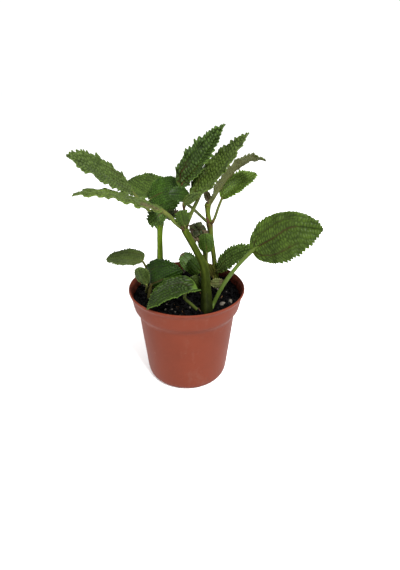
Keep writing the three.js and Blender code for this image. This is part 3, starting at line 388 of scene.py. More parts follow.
def leaf(L, material, look=None):
    """One grown piece: a quilted blade with a toothed margin and sunken veins, and its stalk."""
    k = dict(LOOK)
    k.update(look or {})
    seed = sum(ord(ch) * (i + 1) for i, ch in enumerate(L["name"])) % 9973
    rnd = np.random.RandomState(seed)
    frame_at, length = midrib(L)
    big = max(length, L["width"])
    nt = int(np.clip(big * 2.2, 44, 124))
    nv = int(np.clip(L["width"] * 1.65, 24, 66))
    fine = np.linspace(0, 1, 900) ** 2
    fine = np.where(fine > 0.9, 1 - (1 - fine) ** 1.4 * 0.1 ** -0.4, fine)
    run = np.zeros(900)
    for side in (-1.0, 0.0, 1.0):
        E = surface(L, frame_at, fine, np.full(900, side), k)[0]
        run += np.concatenate([[0], np.cumsum(np.linalg.norm(np.diff(E, axis=0), axis=1))])
    t1 = np.interp(np.linspace(0, run[-1], nt), run, fine)
    x = np.linspace(-1, 1, nv)
    v1 = np.sign(x) * (1 - (1 - np.abs(x)) ** 1.1)
    t, v = np.meshgrid(t1, v1, indexing="ij")
    P, T, U, S, arc, w, s, m = surface(L, frame_at, t, v, k)
    # margin teeth: rounded, pointing forward, along the margin's own length
    pitch = k["tooth_pitch"] * np.clip(big / 50.0, 0.58, 1.05)
    amp = k["tooth"] * np.clip(big / 50.0, 0.58, 1.05)
    turn = np.zeros_like(t)
    shift = np.zeros_like(t)
    ahead = np.zeros_like(t)
    for side in (-1, 1):
        E = surface(L, frame_at, fine, np.full(900, float(side)), k)[0]
        run = np.concatenate([[0], np.cumsum(np.linalg.norm(np.diff(E, axis=0), axis=1))])
        q = np.interp(t1, fine, run) / pitch
        q = q + 0.22 * np.sin(q * 0.9 + rnd.rand() * 6) + rnd.rand()
        i = np.floor(q).astype(int)
        fr = q - i
        rise = np.sin(np.pi * fr ** 1.35) ** 0.8
        size = 0.7 + 0.6 * hash3(i.astype(np.int64), i.astype(np.int64) * 0 + side + 5, i.astype(np.int64) * 0, seed)
        ends = smooth(0.015, 0.09, t1) * (1 - 0.55 * smooth(0.9, 1.0, t1))
        h = amp * rise * size * ends * (1 - k["roll"][1 if side > 0 else 0] * smooth(0.30, 0.42, t1) * (1 - smooth(0.88, 0.94, t1)))
        mask = (s == side)
        zone = smooth(0.0, 1.0, 1 - np.clip((1 - m) * w / (2.6 * np.clip(big / 50.0, 0.55, 1.0)), 0, 1))
        shift += np.where(mask, h[:, None] * zone, 0)
        ahead += np.where(mask, 0.6 * h[:, None] * zone, 0)
        flip = hash3(i.astype(np.int64), i.astype(np.int64) * 0 + side + 9, i.astype(np.int64) * 0, seed + 1) - 0.35
        turn += np.where(mask, (h * flip * 1.1)[:, None] * zone, 0)
    P = P + (s * (shift - 0.55 * amp * smooth(0.5, 1.0, m) * smooth(0.02, 0.1, t)))[..., None] * S + ahead[..., None] * T
    # slow waves of the blade, strongest at the margin
    Y = s * m * w
    ph = rnd.rand(4) * 6.28
    wave = k["wave"] * np.clip(big / 55.0, 0.35, 1.1)
    lift = wave * m ** 2 * (np.sin(2 * np.pi * arc / 13.0 + ph[0] + s) * 0.6 + np.sin(2 * np.pi * arc / 7.3 + ph[1] + 2 * s) * 0.3)
    lift += turn
    lift += wave * 0.5 * (fbm(np.stack([arc, Y, 0 * arc], -1).reshape(-1, 3), 11.0, seed).reshape(t.shape) - 0.5) * 2
    # veins: midrib and one long lateral on each side
    bow = k["vein_shift"] * np.exp(-((t - k["bow"][0]) / k["bow"][1]) ** 2)
    vs_ = s * m
    wm = np.where(bow * 0 + k["vein_shift"] < 0, half_width(L, t, -1.0), half_width(L, t, 1.0))
    d_mid = np.abs(Y - bow * wm)
    rel = np.where(vs_ > bow, (vs_ - bow) / np.maximum(0.05, 1 - bow), (bow - vs_) / np.maximum(0.05, 1 + bow))
    sv = np.where(vs_ > bow, 1.0, -1.0)
    span = np.where(sv > 0, w * (1 - bow), w * (1 + bow))
    vl = np.where(sv > 0, k["lateral"][1], k["lateral"][0]) * (1 - 0.25 * smooth(0.55, 1.0, t))
    d_lat = np.abs(rel - vl) * span
    lat_fade = (1 - smooth(0.62, 0.92, t))
    d = np.minimum(d_mid, d_lat + 6 * (1 - lat_fade))
    scale = np.clip(big / 52.0, 0.70, 1.05)
    # quilting between ladder-like cross veins
    lean = k["lean"]
    zone_y = np.abs(Y - bow * wm)
    q1 = (arc - lean * zone_y - 0.012 * zone_y ** 2) / (k["cell"][0] * scale) + 0.5 * (sv > 0)
    q2 = (Y - bow * wm) / (k["cell"][1] * scale)
    f1, f2, who = cells(q1, q2, seed, k["jitter"])
    dome = smooth(-0.04, 0.60, f2 - f1) ** 0.9
    near = smooth(0.15, 1.1, d / scale)
    rim_fade = 0.35 + 0.65 * smooth(0.0, 1.6, (1 - m) * w)
    height = k["quilt"] * np.clip(big / 50.0, 0.65, 1.05) * dome * near * rim_fade * (0.7 + 0.6 * who)
    groove = k["groove"] * scale * (np.exp(-(d_mid / (0.62 * scale)) ** 2) * (1 - 0.5 * t) + 0.7 * np.exp(-(d_lat / (0.5 * scale)) ** 2) * lat_fade)
    # normals of the middle surface
    Q = P + lift[..., None] * U
    dt, dv = np.gradient(Q, axis=0), np.gradient(Q, axis=1)
    nrm = np.cross(dt, dv)
    nrm /= np.maximum(1e-9, np.linalg.norm(nrm, axis=-1))[..., None]
    nrm = np.where((nrm * U).sum(-1)[..., None] < 0, -nrm, nrm)
    nrm[0], nrm[-1] = U[0], U[-1]
    th = 0.26 + 0.10 * (1 - m)
    th = th * smooth(0.0, 0.5, (1 - m) * w + 0.12)
    rib = 0.55 * scale * np.exp(-(d_mid / 0.8) ** 2) * (1 - 0.8 * t) + 0.25 * scale * np.exp(-(d_lat / 0.6) ** 2) * lat_fade
    top = Q + (th + height - groove)[..., None] * nrm
    low = Q - (th - 0.7 * height + groove * 0.2 + rib)[..., None] * nrm
    top[:, 0] = low[:, 0] = Q[:, 0]
    top[:, -1] = low[:, -1] = Q[:, -1]
    n = nt * nv
    verts = np.vstack([top.reshape(-1, 3), low.reshape(-1, 3)])
    faces = []
    remap = np.arange(2 * n)
    for i in range(nt):
        remap[n + i * nv] = i * nv
        remap[n + i * nv + nv - 1] = i * nv + nv - 1
    for i in range(nt - 1):
        for j in range(nv - 1):
            a, b, c, e = i * nv + j, i * nv + j + 1, (i + 1) * nv + j + 1, (i + 1) * nv + j
            faces.append((a, b, c, e))
            faces.append(tuple(int(remap[n + q]) for q in (e, c, b, a)))
    for i in (0, nt - 1):
        loop = []
        for j in range(nv - 1):
            a, b = i * nv + j, i * nv + j + 1
            a2, b2 = int(remap[n + a]), int(remap[n + b])
            q = [a, b, b2, a2] if i else [a, a2, b2, b]
            r = []
            for z in q:
                if z not in r:
                    r.append(z)
            if len(r) > 2:
                faces.append(tuple(r))
    jag = fbm(np.stack([arc, Y, 0 * arc], -1).reshape(-1, 3), 1.6, seed + 5).reshape(t.shape)
    wide = k["vein_w"] * scale * (0.55 + 0.9 * jag)
    vm = np.exp(-(d_mid / np.maximum(0.05, wide * (1.15 - 0.6 * t))) ** 2) * (1 - smooth(k["vein_end"] - 0.12, k["vein_end"] + 0.05, t))
    end = np.where(sv > 0, k["lat_end"][1], k["lat_end"][0])
    vs = np.exp(-(d_lat / np.maximum(0.05, wide * 0.8)) ** 2) * (1 - smooth(end - 0.22, end, t)) * smooth(0.0, 0.03, t)
    cross = (1 - smooth(0.0, 0.16, f2 - f1)) * np.exp(-(d / (2.2 * scale)) ** 2) * (1 - smooth(k["vein_end"] - 0.2, k["vein_end"], t)) * k["ticks"]
    vein = np.clip(np.maximum.reduce([vm, k["lat_vein"] * vs, cross]), 0, 1)
    edge = 1 - smooth(0.0, 1.7 * scale, (1 - m) * w + 0.8 * (jag - 0.5))
    # dome mask, which carries the painted shade in the recesses and the painted highlight on the dome tops
    cellm = dome * (0.35 + 0.65 * near)
    dry = np.zeros_like(t)
    for (t0, v0, rt, rv, amt) in k["dry"]:
        blot = fbm(np.stack([arc, Y, 0 * arc], -1).reshape(-1, 3), 3.2, seed + 9).reshape(t.shape) - 0.5
        dry = np.maximum(dry, amt * (1 - smooth(0.55, 1.25, np.hypot((t - t0) / rt, (v - v0) / rv) + 0.8 * blot)))
    drop = np.concatenate([np.ones(2 * n, bool)])
    for i in range(nt):
        drop[n + i * nv] = drop[n + i * nv + nv - 1] = False
    keep = np.where(drop)[0]
    back = -np.ones(2 * n, int)
    back[keep] = np.arange(len(keep))
    faces = [tuple(int(back[q]) for q in f) for f in faces]
    stack = lambda a: np.concatenate([a.reshape(-1), a.reshape(-1)])[keep]
    soup = Soup(["vein", "quilt", "rim", "under", "dry", "stalk", "along"])
    under = np.concatenate([np.zeros(n), np.ones(n)])[keep]
    for i, (at, to, wide_, out_, dry_) in enumerate(k["scraps"]):
        scrap(soup, at, to, wide_, out_, seed % 97 + i, dry_)
    soup.add(verts[keep], faces, vein=stack(vein), quilt=stack(cellm), rim=stack(edge), under=under, dry=stack(dry), stalk=0.0, along=stack(t))
    # stalk, running on as a raised rib under the blade
    M, T1, U1, S1, a1 = frame_at(np.array([0.0, 0.05, 0.16, 0.34, 0.55]))
    pts = [np.array(p, float) for p in L["stalk"]] + [M[0] - U1[0] * 0.15]
    r0, r1 = L["rs"]
    under_pts = [M[i] - U1[i] * (0.45 + 0.1 * i) for i in (1, 2, 3, 4)]
    path = spline(pts + under_pts)
    count = len(pts) - 1
    total = count + len(under_pts)

    def radius(q):
        z = q * total
        if z <= count:
            return r0 + (r1 - r0) * z / max(1, count)
        y = (z - count) / len(under_pts)
        return max(0.16, r1 * (1 - y) ** 1.5 * 0.8 + 0.1)

    seen = sum(float(np.linalg.norm(b - a)) for a, b in zip(pts[:-1], pts[1:]))
    tube(soup, path, radius, int(np.clip(seen * 0.9 + 26, 30, 96)), 14, seed, 2, 0.05, masks={
        "stalk": lambda q, th: 1.0 + 0 * q,
        "under": lambda q, th: 0.0 * q,
        "along": lambda q, th: np.clip(q * total / max(1, count), 0, 1),
        "vein": lambda q, th: k["red_stalk"] * smooth(0.55, 1.0, np.clip(q * total / max(1, count), 0, 1)),
    })
    return soup.make("foliage_" + L["name"], material)



# ---------------------------------------------------------------- materials
def srgb(r, g, b, gain=1.0):
    f = lambda c: (c / 255 / 12.92 if c / 255 <= 0.04045 else ((c / 255 + 0.055) / 1.055) ** 2.4) * gain
    return (f(r), f(g), f(b), 1.0)


def tint(c, k, warm=0.0):
    return (max(0.0, c[0] * k * (1 + warm)), max(0.0, c[1] * k), max(0.0, c[2] * k * (1 - warm)), 1.0)


class Tree:
    """A small wrapper for building node materials."""

    def __init__(self, name, rough, spec=0.2, sheen=0.0, sheen_rough=0.5, coat=0.0):
        self.mat = bpy.data.materials.new(name)
        self.mat.use_nodes = True
        self.t = self.mat.node_tree
        self.t.nodes.clear()
        self.out = self.t.nodes.new("ShaderNodeOutputMaterial")
        self.b = self.t.nodes.new("ShaderNodeBsdfPrincipled")
        self.t.links.new(self.b.outputs[0], self.out.inputs["Surface"])
        self.b.inputs["Roughness"].default_value = rough
        self.b.inputs["Specular IOR Level"].default_value = spec
        self.b.inputs["Sheen Weight"].default_value = sheen
        self.b.inputs["Sheen Roughness"].default_value = sheen_rough
        self.b.inputs["Coat Weight"].default_value = coat
        self.tc = self.t.nodes.new("ShaderNodeTexCoord")

    def link(self, a, b):
        self.t.links.new(a, b)

    def put(self, socket, value):
        if hasattr(value, "is_output"):
            self.link(value, socket)
        else:
            socket.default_value = value

    def attr(self, name):
        n = self.t.nodes.new("ShaderNodeAttribute")
        n.attribute_name = name
        return n.outputs["Fac"]

    def noise(self, size_mm, detail=3.0, rough=0.55, stretch=None, distort=0.0):
        n = self.t.nodes.new("ShaderNodeTexNoise")
        n.inputs["Scale"].default_value = 1000.0 / size_mm
        n.inputs["Detail"].default_value = detail
        n.inputs["Roughness"].default_value = rough
        n.inputs["Distortion"].default_value = distort
        if stretch:
            m = self.t.nodes.new("ShaderNodeMapping")
            m.inputs["Scale"].default_value = stretch
            self.link(self.tc.outputs["Object"], m.inputs["Vector"])
            self.link(m.outputs[0], n.inputs["Vector"])
        else:
            self.link(self.tc.outputs["Object"], n.inputs["Vector"])
        return n.outputs["Fac"]

    def ramp(self, value, lo, hi, a=0.0, b=1.0):
        n = self.t.nodes.new("ShaderNodeMapRange")
        n.interpolation_type = "SMOOTHSTEP"
        n.inputs["From Min"].default_value = lo
        n.inputs["From Max"].default_value = hi
        n.inputs["To Min"].default_value = a
        n.inputs["To Max"].default_value = b
        self.put(n.inputs["Value"], value)
        return n.outputs["Result"]

    def math(self, op, a, b=0.0):
        n = self.t.nodes.new("ShaderNodeMath")
        n.operation = op
        self.put(n.inputs[0], a)
        self.put(n.inputs[1], b)
        return n.outputs[0]

    def mix(self, fac, a, b, mode="MIX"):
        n = self.t.nodes.new("ShaderNodeMix")
        n.data_type = "RGBA"
        n.blend_type = mode
        self.put(n.inputs[0], fac)
        self.put(n.inputs[6], a)
        self.put(n.inputs[7], b)
        return n.outputs[2]

    def bump(self, height, distance_mm, strength=1.0):
        n = self.t.nodes.new("ShaderNodeBump")
        n.inputs["Strength"].default_value = strength
        n.inputs["Distance"].default_value = distance_mm * MM
        self.put(n.inputs["Height"], height)
        self.link(n.outputs[0], self.b.inputs["Normal"])

    def base(self, colour):
        self.put(self.b.inputs["Base Color"], colour)
        return self.mat


def leaf_material(name, top, under, stalk, vein, rim_gain=1.5, recess_painted_shade=0.28, dome_painted_highlight=1.6, dry=(112, 92, 72)):
    m = Tree("leaf_tissue_" + name, 0.42, 0.07, 0.0, 0.4)
    broad = m.noise(16, 3)
    fine = m.noise(2.2, 4)
    patch = m.noise(6.5, 3, 0.6)
    c = m.mix(m.ramp(broad, 0.3, 0.72), tint(top, 0.74), tint(top, 1.26, 0.02))
    c = m.mix(m.ramp(patch, 0.36, 0.68), m.mix(1.0, c, (0.78, 0.78, 0.74, 1), "MULTIPLY"), m.mix(1.0, c, (1.24, 1.22, 1.2, 1), "MULTIPLY"))
    c = m.mix(m.ramp(fine, 0.35, 0.7, 0.0, 0.5), c, tint(top, 1.25, 0.03))
    # painted shade: the colour is darkened in the recesses between the domes of the quilting
    groove = m.ramp(m.attr("quilt"), 0.0, 0.75)
    c = m.mix(groove, m.mix(1.0, c, (recess_painted_shade, recess_painted_shade * 1.02, recess_painted_shade * 0.95, 1), "MULTIPLY"), c)
    # painted highlight: the colour is lightened on the dome tops
    c = m.mix(m.ramp(m.attr("quilt"), 0.70, 1.0, 0.0, 0.8), c, m.mix(1.0, c, (dome_painted_highlight, dome_painted_highlight * 0.98, dome_painted_highlight * 0.95, 1), "MULTIPLY"))
    c = m.mix(m.ramp(m.attr("rim"), 0.3, 0.95, 0.0, 0.95), c, tint(top, rim_gain, 0.08))
    # underside
    u = m.mix(m.ramp(broad, 0.3, 0.72), tint(under, 0.85), tint(under, 1.15))
    u = m.mix(m.ramp(fine, 0.4, 0.75, 0.0, 0.5), u, tint(under, 0.8, 0.05))
    u = m.mix(m.ramp(m.attr("quilt"), 0.0, 0.5, 0.55, 0.0), u, tint(under, 1.3))
    u = m.mix(m.ramp(m.attr("rim"), 0.3, 0.95, 0.0, 0.7), u, tint(under, 1.35, 0.02))
    c = m.mix(m.attr("under"), c, u)
    c = m.mix(m.attr("vein"), c, m.mix(m.ramp(fine, 0.35, 0.7), vein, tint(vein, 0.7)))
    along = m.noise(4.5, 3, stretch=(1, 1, 0.4))
    s = m.mix(m.ramp(along, 0.35, 0.7), tint(stalk, 0.86, 0.02), tint(stalk, 1.12))
    s = m.mix(m.attr("vein"), s, m.mix(m.ramp(fine, 0.35, 0.7), vein, tint(vein, 1.3)))
    c = m.mix(m.attr("stalk"), c, s)
    brown = m.mix(m.ramp(m.noise(1.6, 4), 0.35, 0.7), srgb(*dry, 0.5), srgb(*dry, 0.18))
    c = m.mix(m.attr("dry"), c, brown)
    fuzz = m.math("ADD", m.noise(0.55, 2), m.math("MULTIPLY", m.noise(1.5, 2), 0.8))
    m.bump(fuzz, 0.10, 0.7)
    return m.base(c)


def stem_material(name, low, high, brown):
    m = Tree("stem_skin_" + name, 0.6, 0.02, 0.0, 0.4)
    along = m.noise(3.0, 4, stretch=(1, 1, 0.22))
    c = m.mix(m.attr("height"), low, high)
    c = m.mix(m.ramp(along, 0.32, 0.7), m.mix(1.0, c, (0.7, 0.7, 0.66, 1), "MULTIPLY"), m.mix(1.0, c, (1.18, 1.16, 1.1, 1), "MULTIPLY"))
    # painted highlight: the ridge tops are lighter
    c = m.mix(m.ramp(m.attr("ridge"), 0.3, 1.0, 0.0, 0.6), c, m.mix(1.0, c, (1.6, 1.5, 1.4, 1), "MULTIPLY"))
    c = m.mix(m.attr("brown"), c, m.mix(m.ramp(m.noise(1.2, 3), 0.35, 0.7), brown, tint(brown, 0.45)))
    m.bump(m.noise(0.7, 3, stretch=(1, 1, 0.3)), 0.12, 0.7)
    return m.base(c)


# ---------------------------------------------------------------- pot
def round_profile(points, radius=0.5):
    """The same profile with its corners cut to small arcs."""
    out = []
    P = [np.array(p, float) for p in points]
    for i, p in enumerate(P):
        if i == 0 or i == len(P) - 1:
            out.append(p)
            continue
        a, b = P[i - 1] - p, P[i + 1] - p
        la, lb = np.linalg.norm(a), np.linalg.norm(b)
        bent = math.degrees(math.acos(float(np.clip(-(a @ b) / la / lb, -1, 1))))
        r = min(radius if bent > 52 else 3.5, la * 0.45, lb * 0.45)
        s, e = p + a / la * r, p + b / lb * r
        n = 5 if bent > 52 else 3
        for k in range(n):
            w = k / (n - 1)
            out.append((1 - w) ** 2 * s + 2 * w * (1 - w) * p + w * w * e)
    return out


def lathe(name, profile, segments, material, shape=None):
    """Turns a closed profile (starting and ending on the axis) about Z."""
    prof = [p for p in profile]
    rings = prof[1:-1]
    th = np.linspace(0, 2 * np.pi, segments, endpoint=False)
    verts = [(0, 0, prof[0][1])]
    for r, z in rings:
        for k in range(segments):
            verts.append((r * math.cos(th[k]), r * math.sin(th[k]), z))
    verts.append((0, 0, prof[-1][1]))
    verts = np.array(verts, float)
    if shape:
        verts = shape(verts)
    faces = []
    for k in range(segments):
        faces.append((0, 1 + (k + 1) % segments, 1 + k))
    for i in range(len(rings) - 1):
        for k in range(segments):
            j = (k + 1) % segments
            a, b = 1 + i * segments, 1 + (i + 1) * segments
            faces.append((a + k, a + j, b + j, b + k))
    last, top = 1 + (len(rings) - 1) * segments, len(verts) - 1
    for k in range(segments):
        faces.append((last + k, last + (k + 1) % segments, top))
    mesh = bpy.data.meshes.new(name)
    mesh.from_pydata((verts * MM).tolist(), [], faces)
    mesh.polygons.foreach_set("use_smooth", [True] * len(mesh.polygons))
    mesh.materials.append(material)
    bm = bmesh.new()
    bm.from_mesh(mesh)
    bmesh.ops.recalc_face_normals(bm, faces=bm.faces)
    bm.to_mesh(mesh)
    bm.free()
    o = bpy.data.objects.new(name, mesh)
    bpy.context.scene.collection.objects.link(o)
    return o


def densify(profile, step):
    out = [np.array(profile[0], float)]
    for a, b in zip(profile[:-1], profile[1:]):
        a, b = np.array(a, float), np.array(b, float)
        n = max(1, int(np.ceil(np.linalg.norm(b - a) / step)))
        for k in range(1, n + 1):
            out.append(a + (b - a) * k / n)
    return out


def pot_material():
    m = Tree("terracotta_plastic", 0.5, 0.05)
    body = scaled(srgb(150, 80, 62, POT_GAIN), "pot")
    broad = m.noise(38, 3)
    fine = m.noise(2.0, 4)
    c = m.mix(m.ramp(broad, 0.3, 0.7), tint(body, 0.93), tint(body, 1.06, 0.01))
    c = m.mix(m.ramp(fine, 0.3, 0.75, 0.0, 0.35), c, tint(body, 1.12))
    dust = m.ramp(m.noise(13, 5, 0.65, stretch=(1, 1, 0.5)), 0.54, 0.74, 0.0, 0.14)
    c = m.mix(dust, c, srgb(160, 122, 108, POT_GAIN))
    streak = m.ramp(m.noise(5, 4, 0.6, stretch=(1, 1, 0.18)), 0.6, 0.75, 0.0, 0.12)
    c = m.mix(streak, c, tint(body, 0.72))
    # painted shade: the inner wall of the pot is darkened, less so near the top of the rim
    c = m.mix(m.attr("inner"), c, m.mix(m.ramp(m.noise(6, 4), 0.35, 0.65), tint(body, 0.22), tint(body, 0.5)))
    scuff = m.ramp(m.noise(1.6, 3, 0.6, stretch=(0.35, 0.35, 1.6), distort=0.6), 0.70, 0.78, 0.0, 0.5)
    c = m.mix(scuff, c, srgb(190, 140, 120, POT_GAIN))
    m.bump(m.math("ADD", m.noise(0.9, 3), m.math("MULTIPLY", m.noise(6, 3), 1.5)), 0.07, 0.5)
    return m.base(c)


def build_pot():
    prof = [[0, 0]] + POT_OUTER + POT_INNER
    prof = densify(round_profile(prof, 0.45), 6.0)
    o = lathe("pot_shell", prof, 160, pot_material())
    cutters = []
    for i in range(HOLES):
        a = (i + 0.5) * 2 * math.pi / HOLES
        bpy.ops.mesh.primitive_cylinder_add(vertices=40, radius=HOLE_R * MM, depth=12 * MM, location=(HOLE_RING * math.cos(a) * MM, HOLE_RING * math.sin(a) * MM, 1.5 * MM))
        cutters.append(bpy.context.object)
    bpy.ops.object.select_all(action="DESELECT")
    for c in cutters:
        c.select_set(True)
    bpy.context.view_layer.objects.active = cutters[0]
    bpy.ops.object.join()
    cut = bpy.context.object
    mod = o.modifiers.new("holes", "BOOLEAN")
    mod.operation = "DIFFERENCE"
    mod.solver = "EXACT"
    mod.object = cut
    bpy.context.view_layer.objects.active = o
    bpy.ops.object.select_all(action="DESELECT")
    o.select_set(True)
    bpy.ops.object.modifier_apply(modifier="holes")
    bpy.data.objects.remove(cut, do_unlink=True)
    o.data.shade_auto_smooth(angle=math.radians(38)) if hasattr(o.data, "shade_auto_smooth") else None
    co = np.zeros(len(o.data.vertices) * 3)
    o.data.vertices.foreach_get("co", co)
    co = co.reshape(-1, 3) / MM
    inner = np.array(POT_INNER[::-1])
    gap = np.interp(co[:, 2], inner[:, 1], inner[:, 0]) - np.hypot(co[:, 0], co[:, 1])
    # mask of the inner wall for its painted shade, fading out near the top of the rim
    at = o.data.attributes.new("inner", "FLOAT", "POINT")
    at.data.foreach_set("value", (smooth(-0.35, -0.1, gap) * (1 - 0.85 * smooth(86.0, 90.5, co[:, 2]))).astype(np.float32))
    # a crease where surfaces meet sharply
    bm = bmesh.new()
    bm.from_mesh(o.data)
    for e in bm.edges:
        if len(e.link_faces) == 2 and e.calc_face_angle(0) > math.radians(40):
            e.smooth = False
    bm.to_mesh(o.data)
    bm.free()
    return o


# ---------------------------------------------------------------- soil
def soil_height(x, y):
    r = np.hypot(x, y)
    z = np.interp(r, [q[0] for q in SOIL_TOP[::-1]], [q[1] for q in SOIL_TOP[::-1]])
    p = np.stack([x, y, 0 * x], -1).reshape(-1, 3)
    bumps = (fbm(p, 7.0, 3, 4) - 0.5).reshape(x.shape)
    return z + 2.6 * bumps * (1 - 0.6 * smooth(46, 48, r))


def ico(level):
    bm = bmesh.new()
    bmesh.ops.create_icosphere(bm, subdivisions=level, radius=1.0)
    v = np.array([q.co[:] for q in bm.verts])
    f = [tuple(q.index for q in face.verts) for face in bm.faces]
    bm.free()
    return v, f


def lump(soup, centre, half, turn, level, rnd, rough=0.25, angular=0.5, **masks):
    """A closed pebble: an uneven ellipsoid with a few cut planes."""
    v, f = ICO[level]
    v = v.copy()
    for _ in range(int(3 + angular * 8)):
        d = unit(rnd.normal(size=3))
        h = 0.62 + 0.3 * rnd.rand()
        over = v @ d - h
        v = v - np.where(over > 0, over * angular, 0)[:, None] * d
    n = fbm(v + rnd.rand(3) * 50, 0.8, 1, 2) - 0.5
    v = v * (1 + rough * 2 * n)[:, None]
    v = v * np.array(half)
    R = np.array(Matrix.Rotation(turn[0], 3, "X") @ Matrix.Rotation(turn[1], 3, "Y") @ Matrix.Rotation(turn[2], 3, "Z"))
    soup.add(v @ R.T + np.array(centre), f, **masks)


def soil_material():
    m = Tree("potting_soil", 0.6, 0.04)
    dark, mid, light = (scaled(c, "soil") for c in (srgb(15, 12, 9, SOIL_GAIN), srgb(36, 29, 21, SOIL_GAIN), srgb(74, 58, 42, SOIL_GAIN)))
    c = m.mix(m.ramp(m.noise(4.5, 5, 0.7), 0.36, 0.66), dark, mid)
    c = m.mix(m.ramp(m.noise(1.1, 4, 0.7), 0.60, 0.74, 0.0, 0.7), c, light)
    c = m.mix(m.ramp(m.attr("shade"), 0.0, 1.0), c, m.mix(1.0, c, (2.3, 2.1, 1.8, 1), "MULTIPLY"))
    c = m.mix(m.attr("straw"), c, srgb(112, 84, 56, SOIL_GAIN))
    m.bump(m.noise(0.8, 4), 0.3, 0.9)
    return m.base(c)


def build_soil():
    rnd = np.random.RandomState(41)
    s = Soup(["shade", "straw"])
    seg, rings = 144, 50
    th = np.linspace(0, 2 * np.pi, seg, endpoint=False)
    rad = 47.7 * np.linspace(0, 1, rings) ** 0.8
    verts = [(0, 0, float(soil_height(np.array([0.0]), np.array([0.0]))[0]))]
    for r in rad[1:]:
        x, y = r * np.cos(th), r * np.sin(th)
        z = soil_height(x, y)
        verts += list(zip(x, y, z))
    side = SOIL_SIDE
    for r, z in side:
        verts += [(r * math.cos(a), r * math.sin(a), z) for a in th]
    verts.append((0, 0, 3.2))
    faces = [(0, 1 + k, 1 + (k + 1) % seg) for k in range(seg)]
    n = rings - 1 + len(side)
    for i in range(n - 1):
        for k in range(seg):
            j = (k + 1) % seg
            a, b = 1 + i * seg, 1 + (i + 1) * seg
            faces.append((a + k, b + k, b + j, a + j))
    last, end = 1 + (n - 1) * seg, len(verts) - 1
    faces += [(last + k, end, last + (k + 1) % seg) for k in range(seg)]
    s.add(verts, faces)
    for k in range(2300):
        big = rnd.rand() ** 4.0
        size = 0.45 + 1.9 * big
        r = 47.6 * math.sqrt(rnd.rand())
        r = min(r, 47.8 - size)
        a = rnd.rand() * 2 * math.pi
        x, y = r * math.cos(a), r * math.sin(a)
        z = float(soil_height(np.array([x]), np.array([y]))[0])
        half = size * (0.45 + 0.75 * rnd.rand(3))
        lump(s, (x, y, z + size * (0.1 + 0.35 * rnd.rand())), half, rnd.rand(3) * 6, 2 if size > 1.6 else 1, rnd, 0.45, 0.8, flat=True, shade=float(rnd.rand() ** 3))
    # bits of bark and straw
    for k in range(110):
        r, a = 44.0 * math.sqrt(rnd.rand()), rnd.rand() * 2 * math.pi
        x, y = r * math.cos(a), r * math.sin(a)
        z = float(soil_height(np.array([x]), np.array([y]))[0])
        half = (1.2 + 2.6 * rnd.rand(), 0.3 + 0.35 * rnd.rand(), 0.2 + 0.25 * rnd.rand())
        lump(s, (x, y, z + 0.9), half, (0.25 * rnd.normal(), 0.35 * rnd.normal(), rnd.rand() * 6), 1, rnd, 0.2, 0.4, flat=True, shade=float(rnd.rand()), straw=float(0.25 + 0.6 * rnd.rand() if rnd.rand() < 0.4 else 0.0))
    # dry brown flakes lying against the stems
    for x, y, z, half, turn, st in FLAKES:
        lump(s, (x, y, z), half, turn, 2, rnd, 0.35, 0.5, shade=0.6, straw=st)
    o = s.make("soil_bed", soil_material())
    return o


def perlite_material():
    m = Tree("perlite_grain", 0.8, 0.15)
    c = m.mix(m.ramp(m.noise(2.2, 4), 0.3, 0.7), srgb(122, 112, 98, 0.24), srgb(176, 166, 150, 0.24))
    c = m.mix(m.ramp(m.noise(0.9, 3), 0.60, 0.75, 0.0, 0.7), c, srgb(80, 70, 58, 0.3))
    m.bump(m.noise(0.5, 3), 0.15, 0.8)
    return m.base(c)


# ---------------------------------------------------------------- stems
def build_stem(name, rows, look):
    rnd = np.random.RandomState(len(name) * 7 + 3)
    s = Soup(["height", "ridge", "brown"])
    pts = [np.array(r[:3]) for r in rows]
    path = spline(pts)
    rad = [r[3] for r in rows]
    n = len(rows) - 1
    nodes = look["nodes"]

    def radius(t):
        z = t * n
        i = min(n - 1, int(z))
        w = z - i
        r = rad[i] * (1 - w) + rad[i + 1] * w
        for q, amt in nodes:
            r *= 1 + amt * math.exp(-((t - q) * n / 0.33) ** 2)
        return r * 0.97

    def brown(t, th):
        x = 0 * t
        for q, amt in look["rings"]:
            x = np.maximum(x, amt * np.exp(-((t - q) * n / 0.16) ** 2))
        return np.clip(x, 0, 1)

    # the ridge mask also carries the painted highlight on the ridge tops
    tube(s, path, radius, 130, 32, len(name), look.get("ribs", 5), look.get("rib", 0.035), masks={
        "height": lambda t, th: np.clip((t * n - 1) / (n - 1) * 1.0, 0, 1),
        "ridge": lambda t, th: (0.5 + 0.5 * np.cos(th * look.get("ribs", 5))) ** 1.5 + 0 * t,
        "brown": brown,
    }, wobble=0.05)
    for b in look.get("bracts", []):
        bract(s, **b)
    return s.make("plant_" + name, stem_material(name, scaled(look["low"], name), scaled(look["high"], name), look["brown"]))


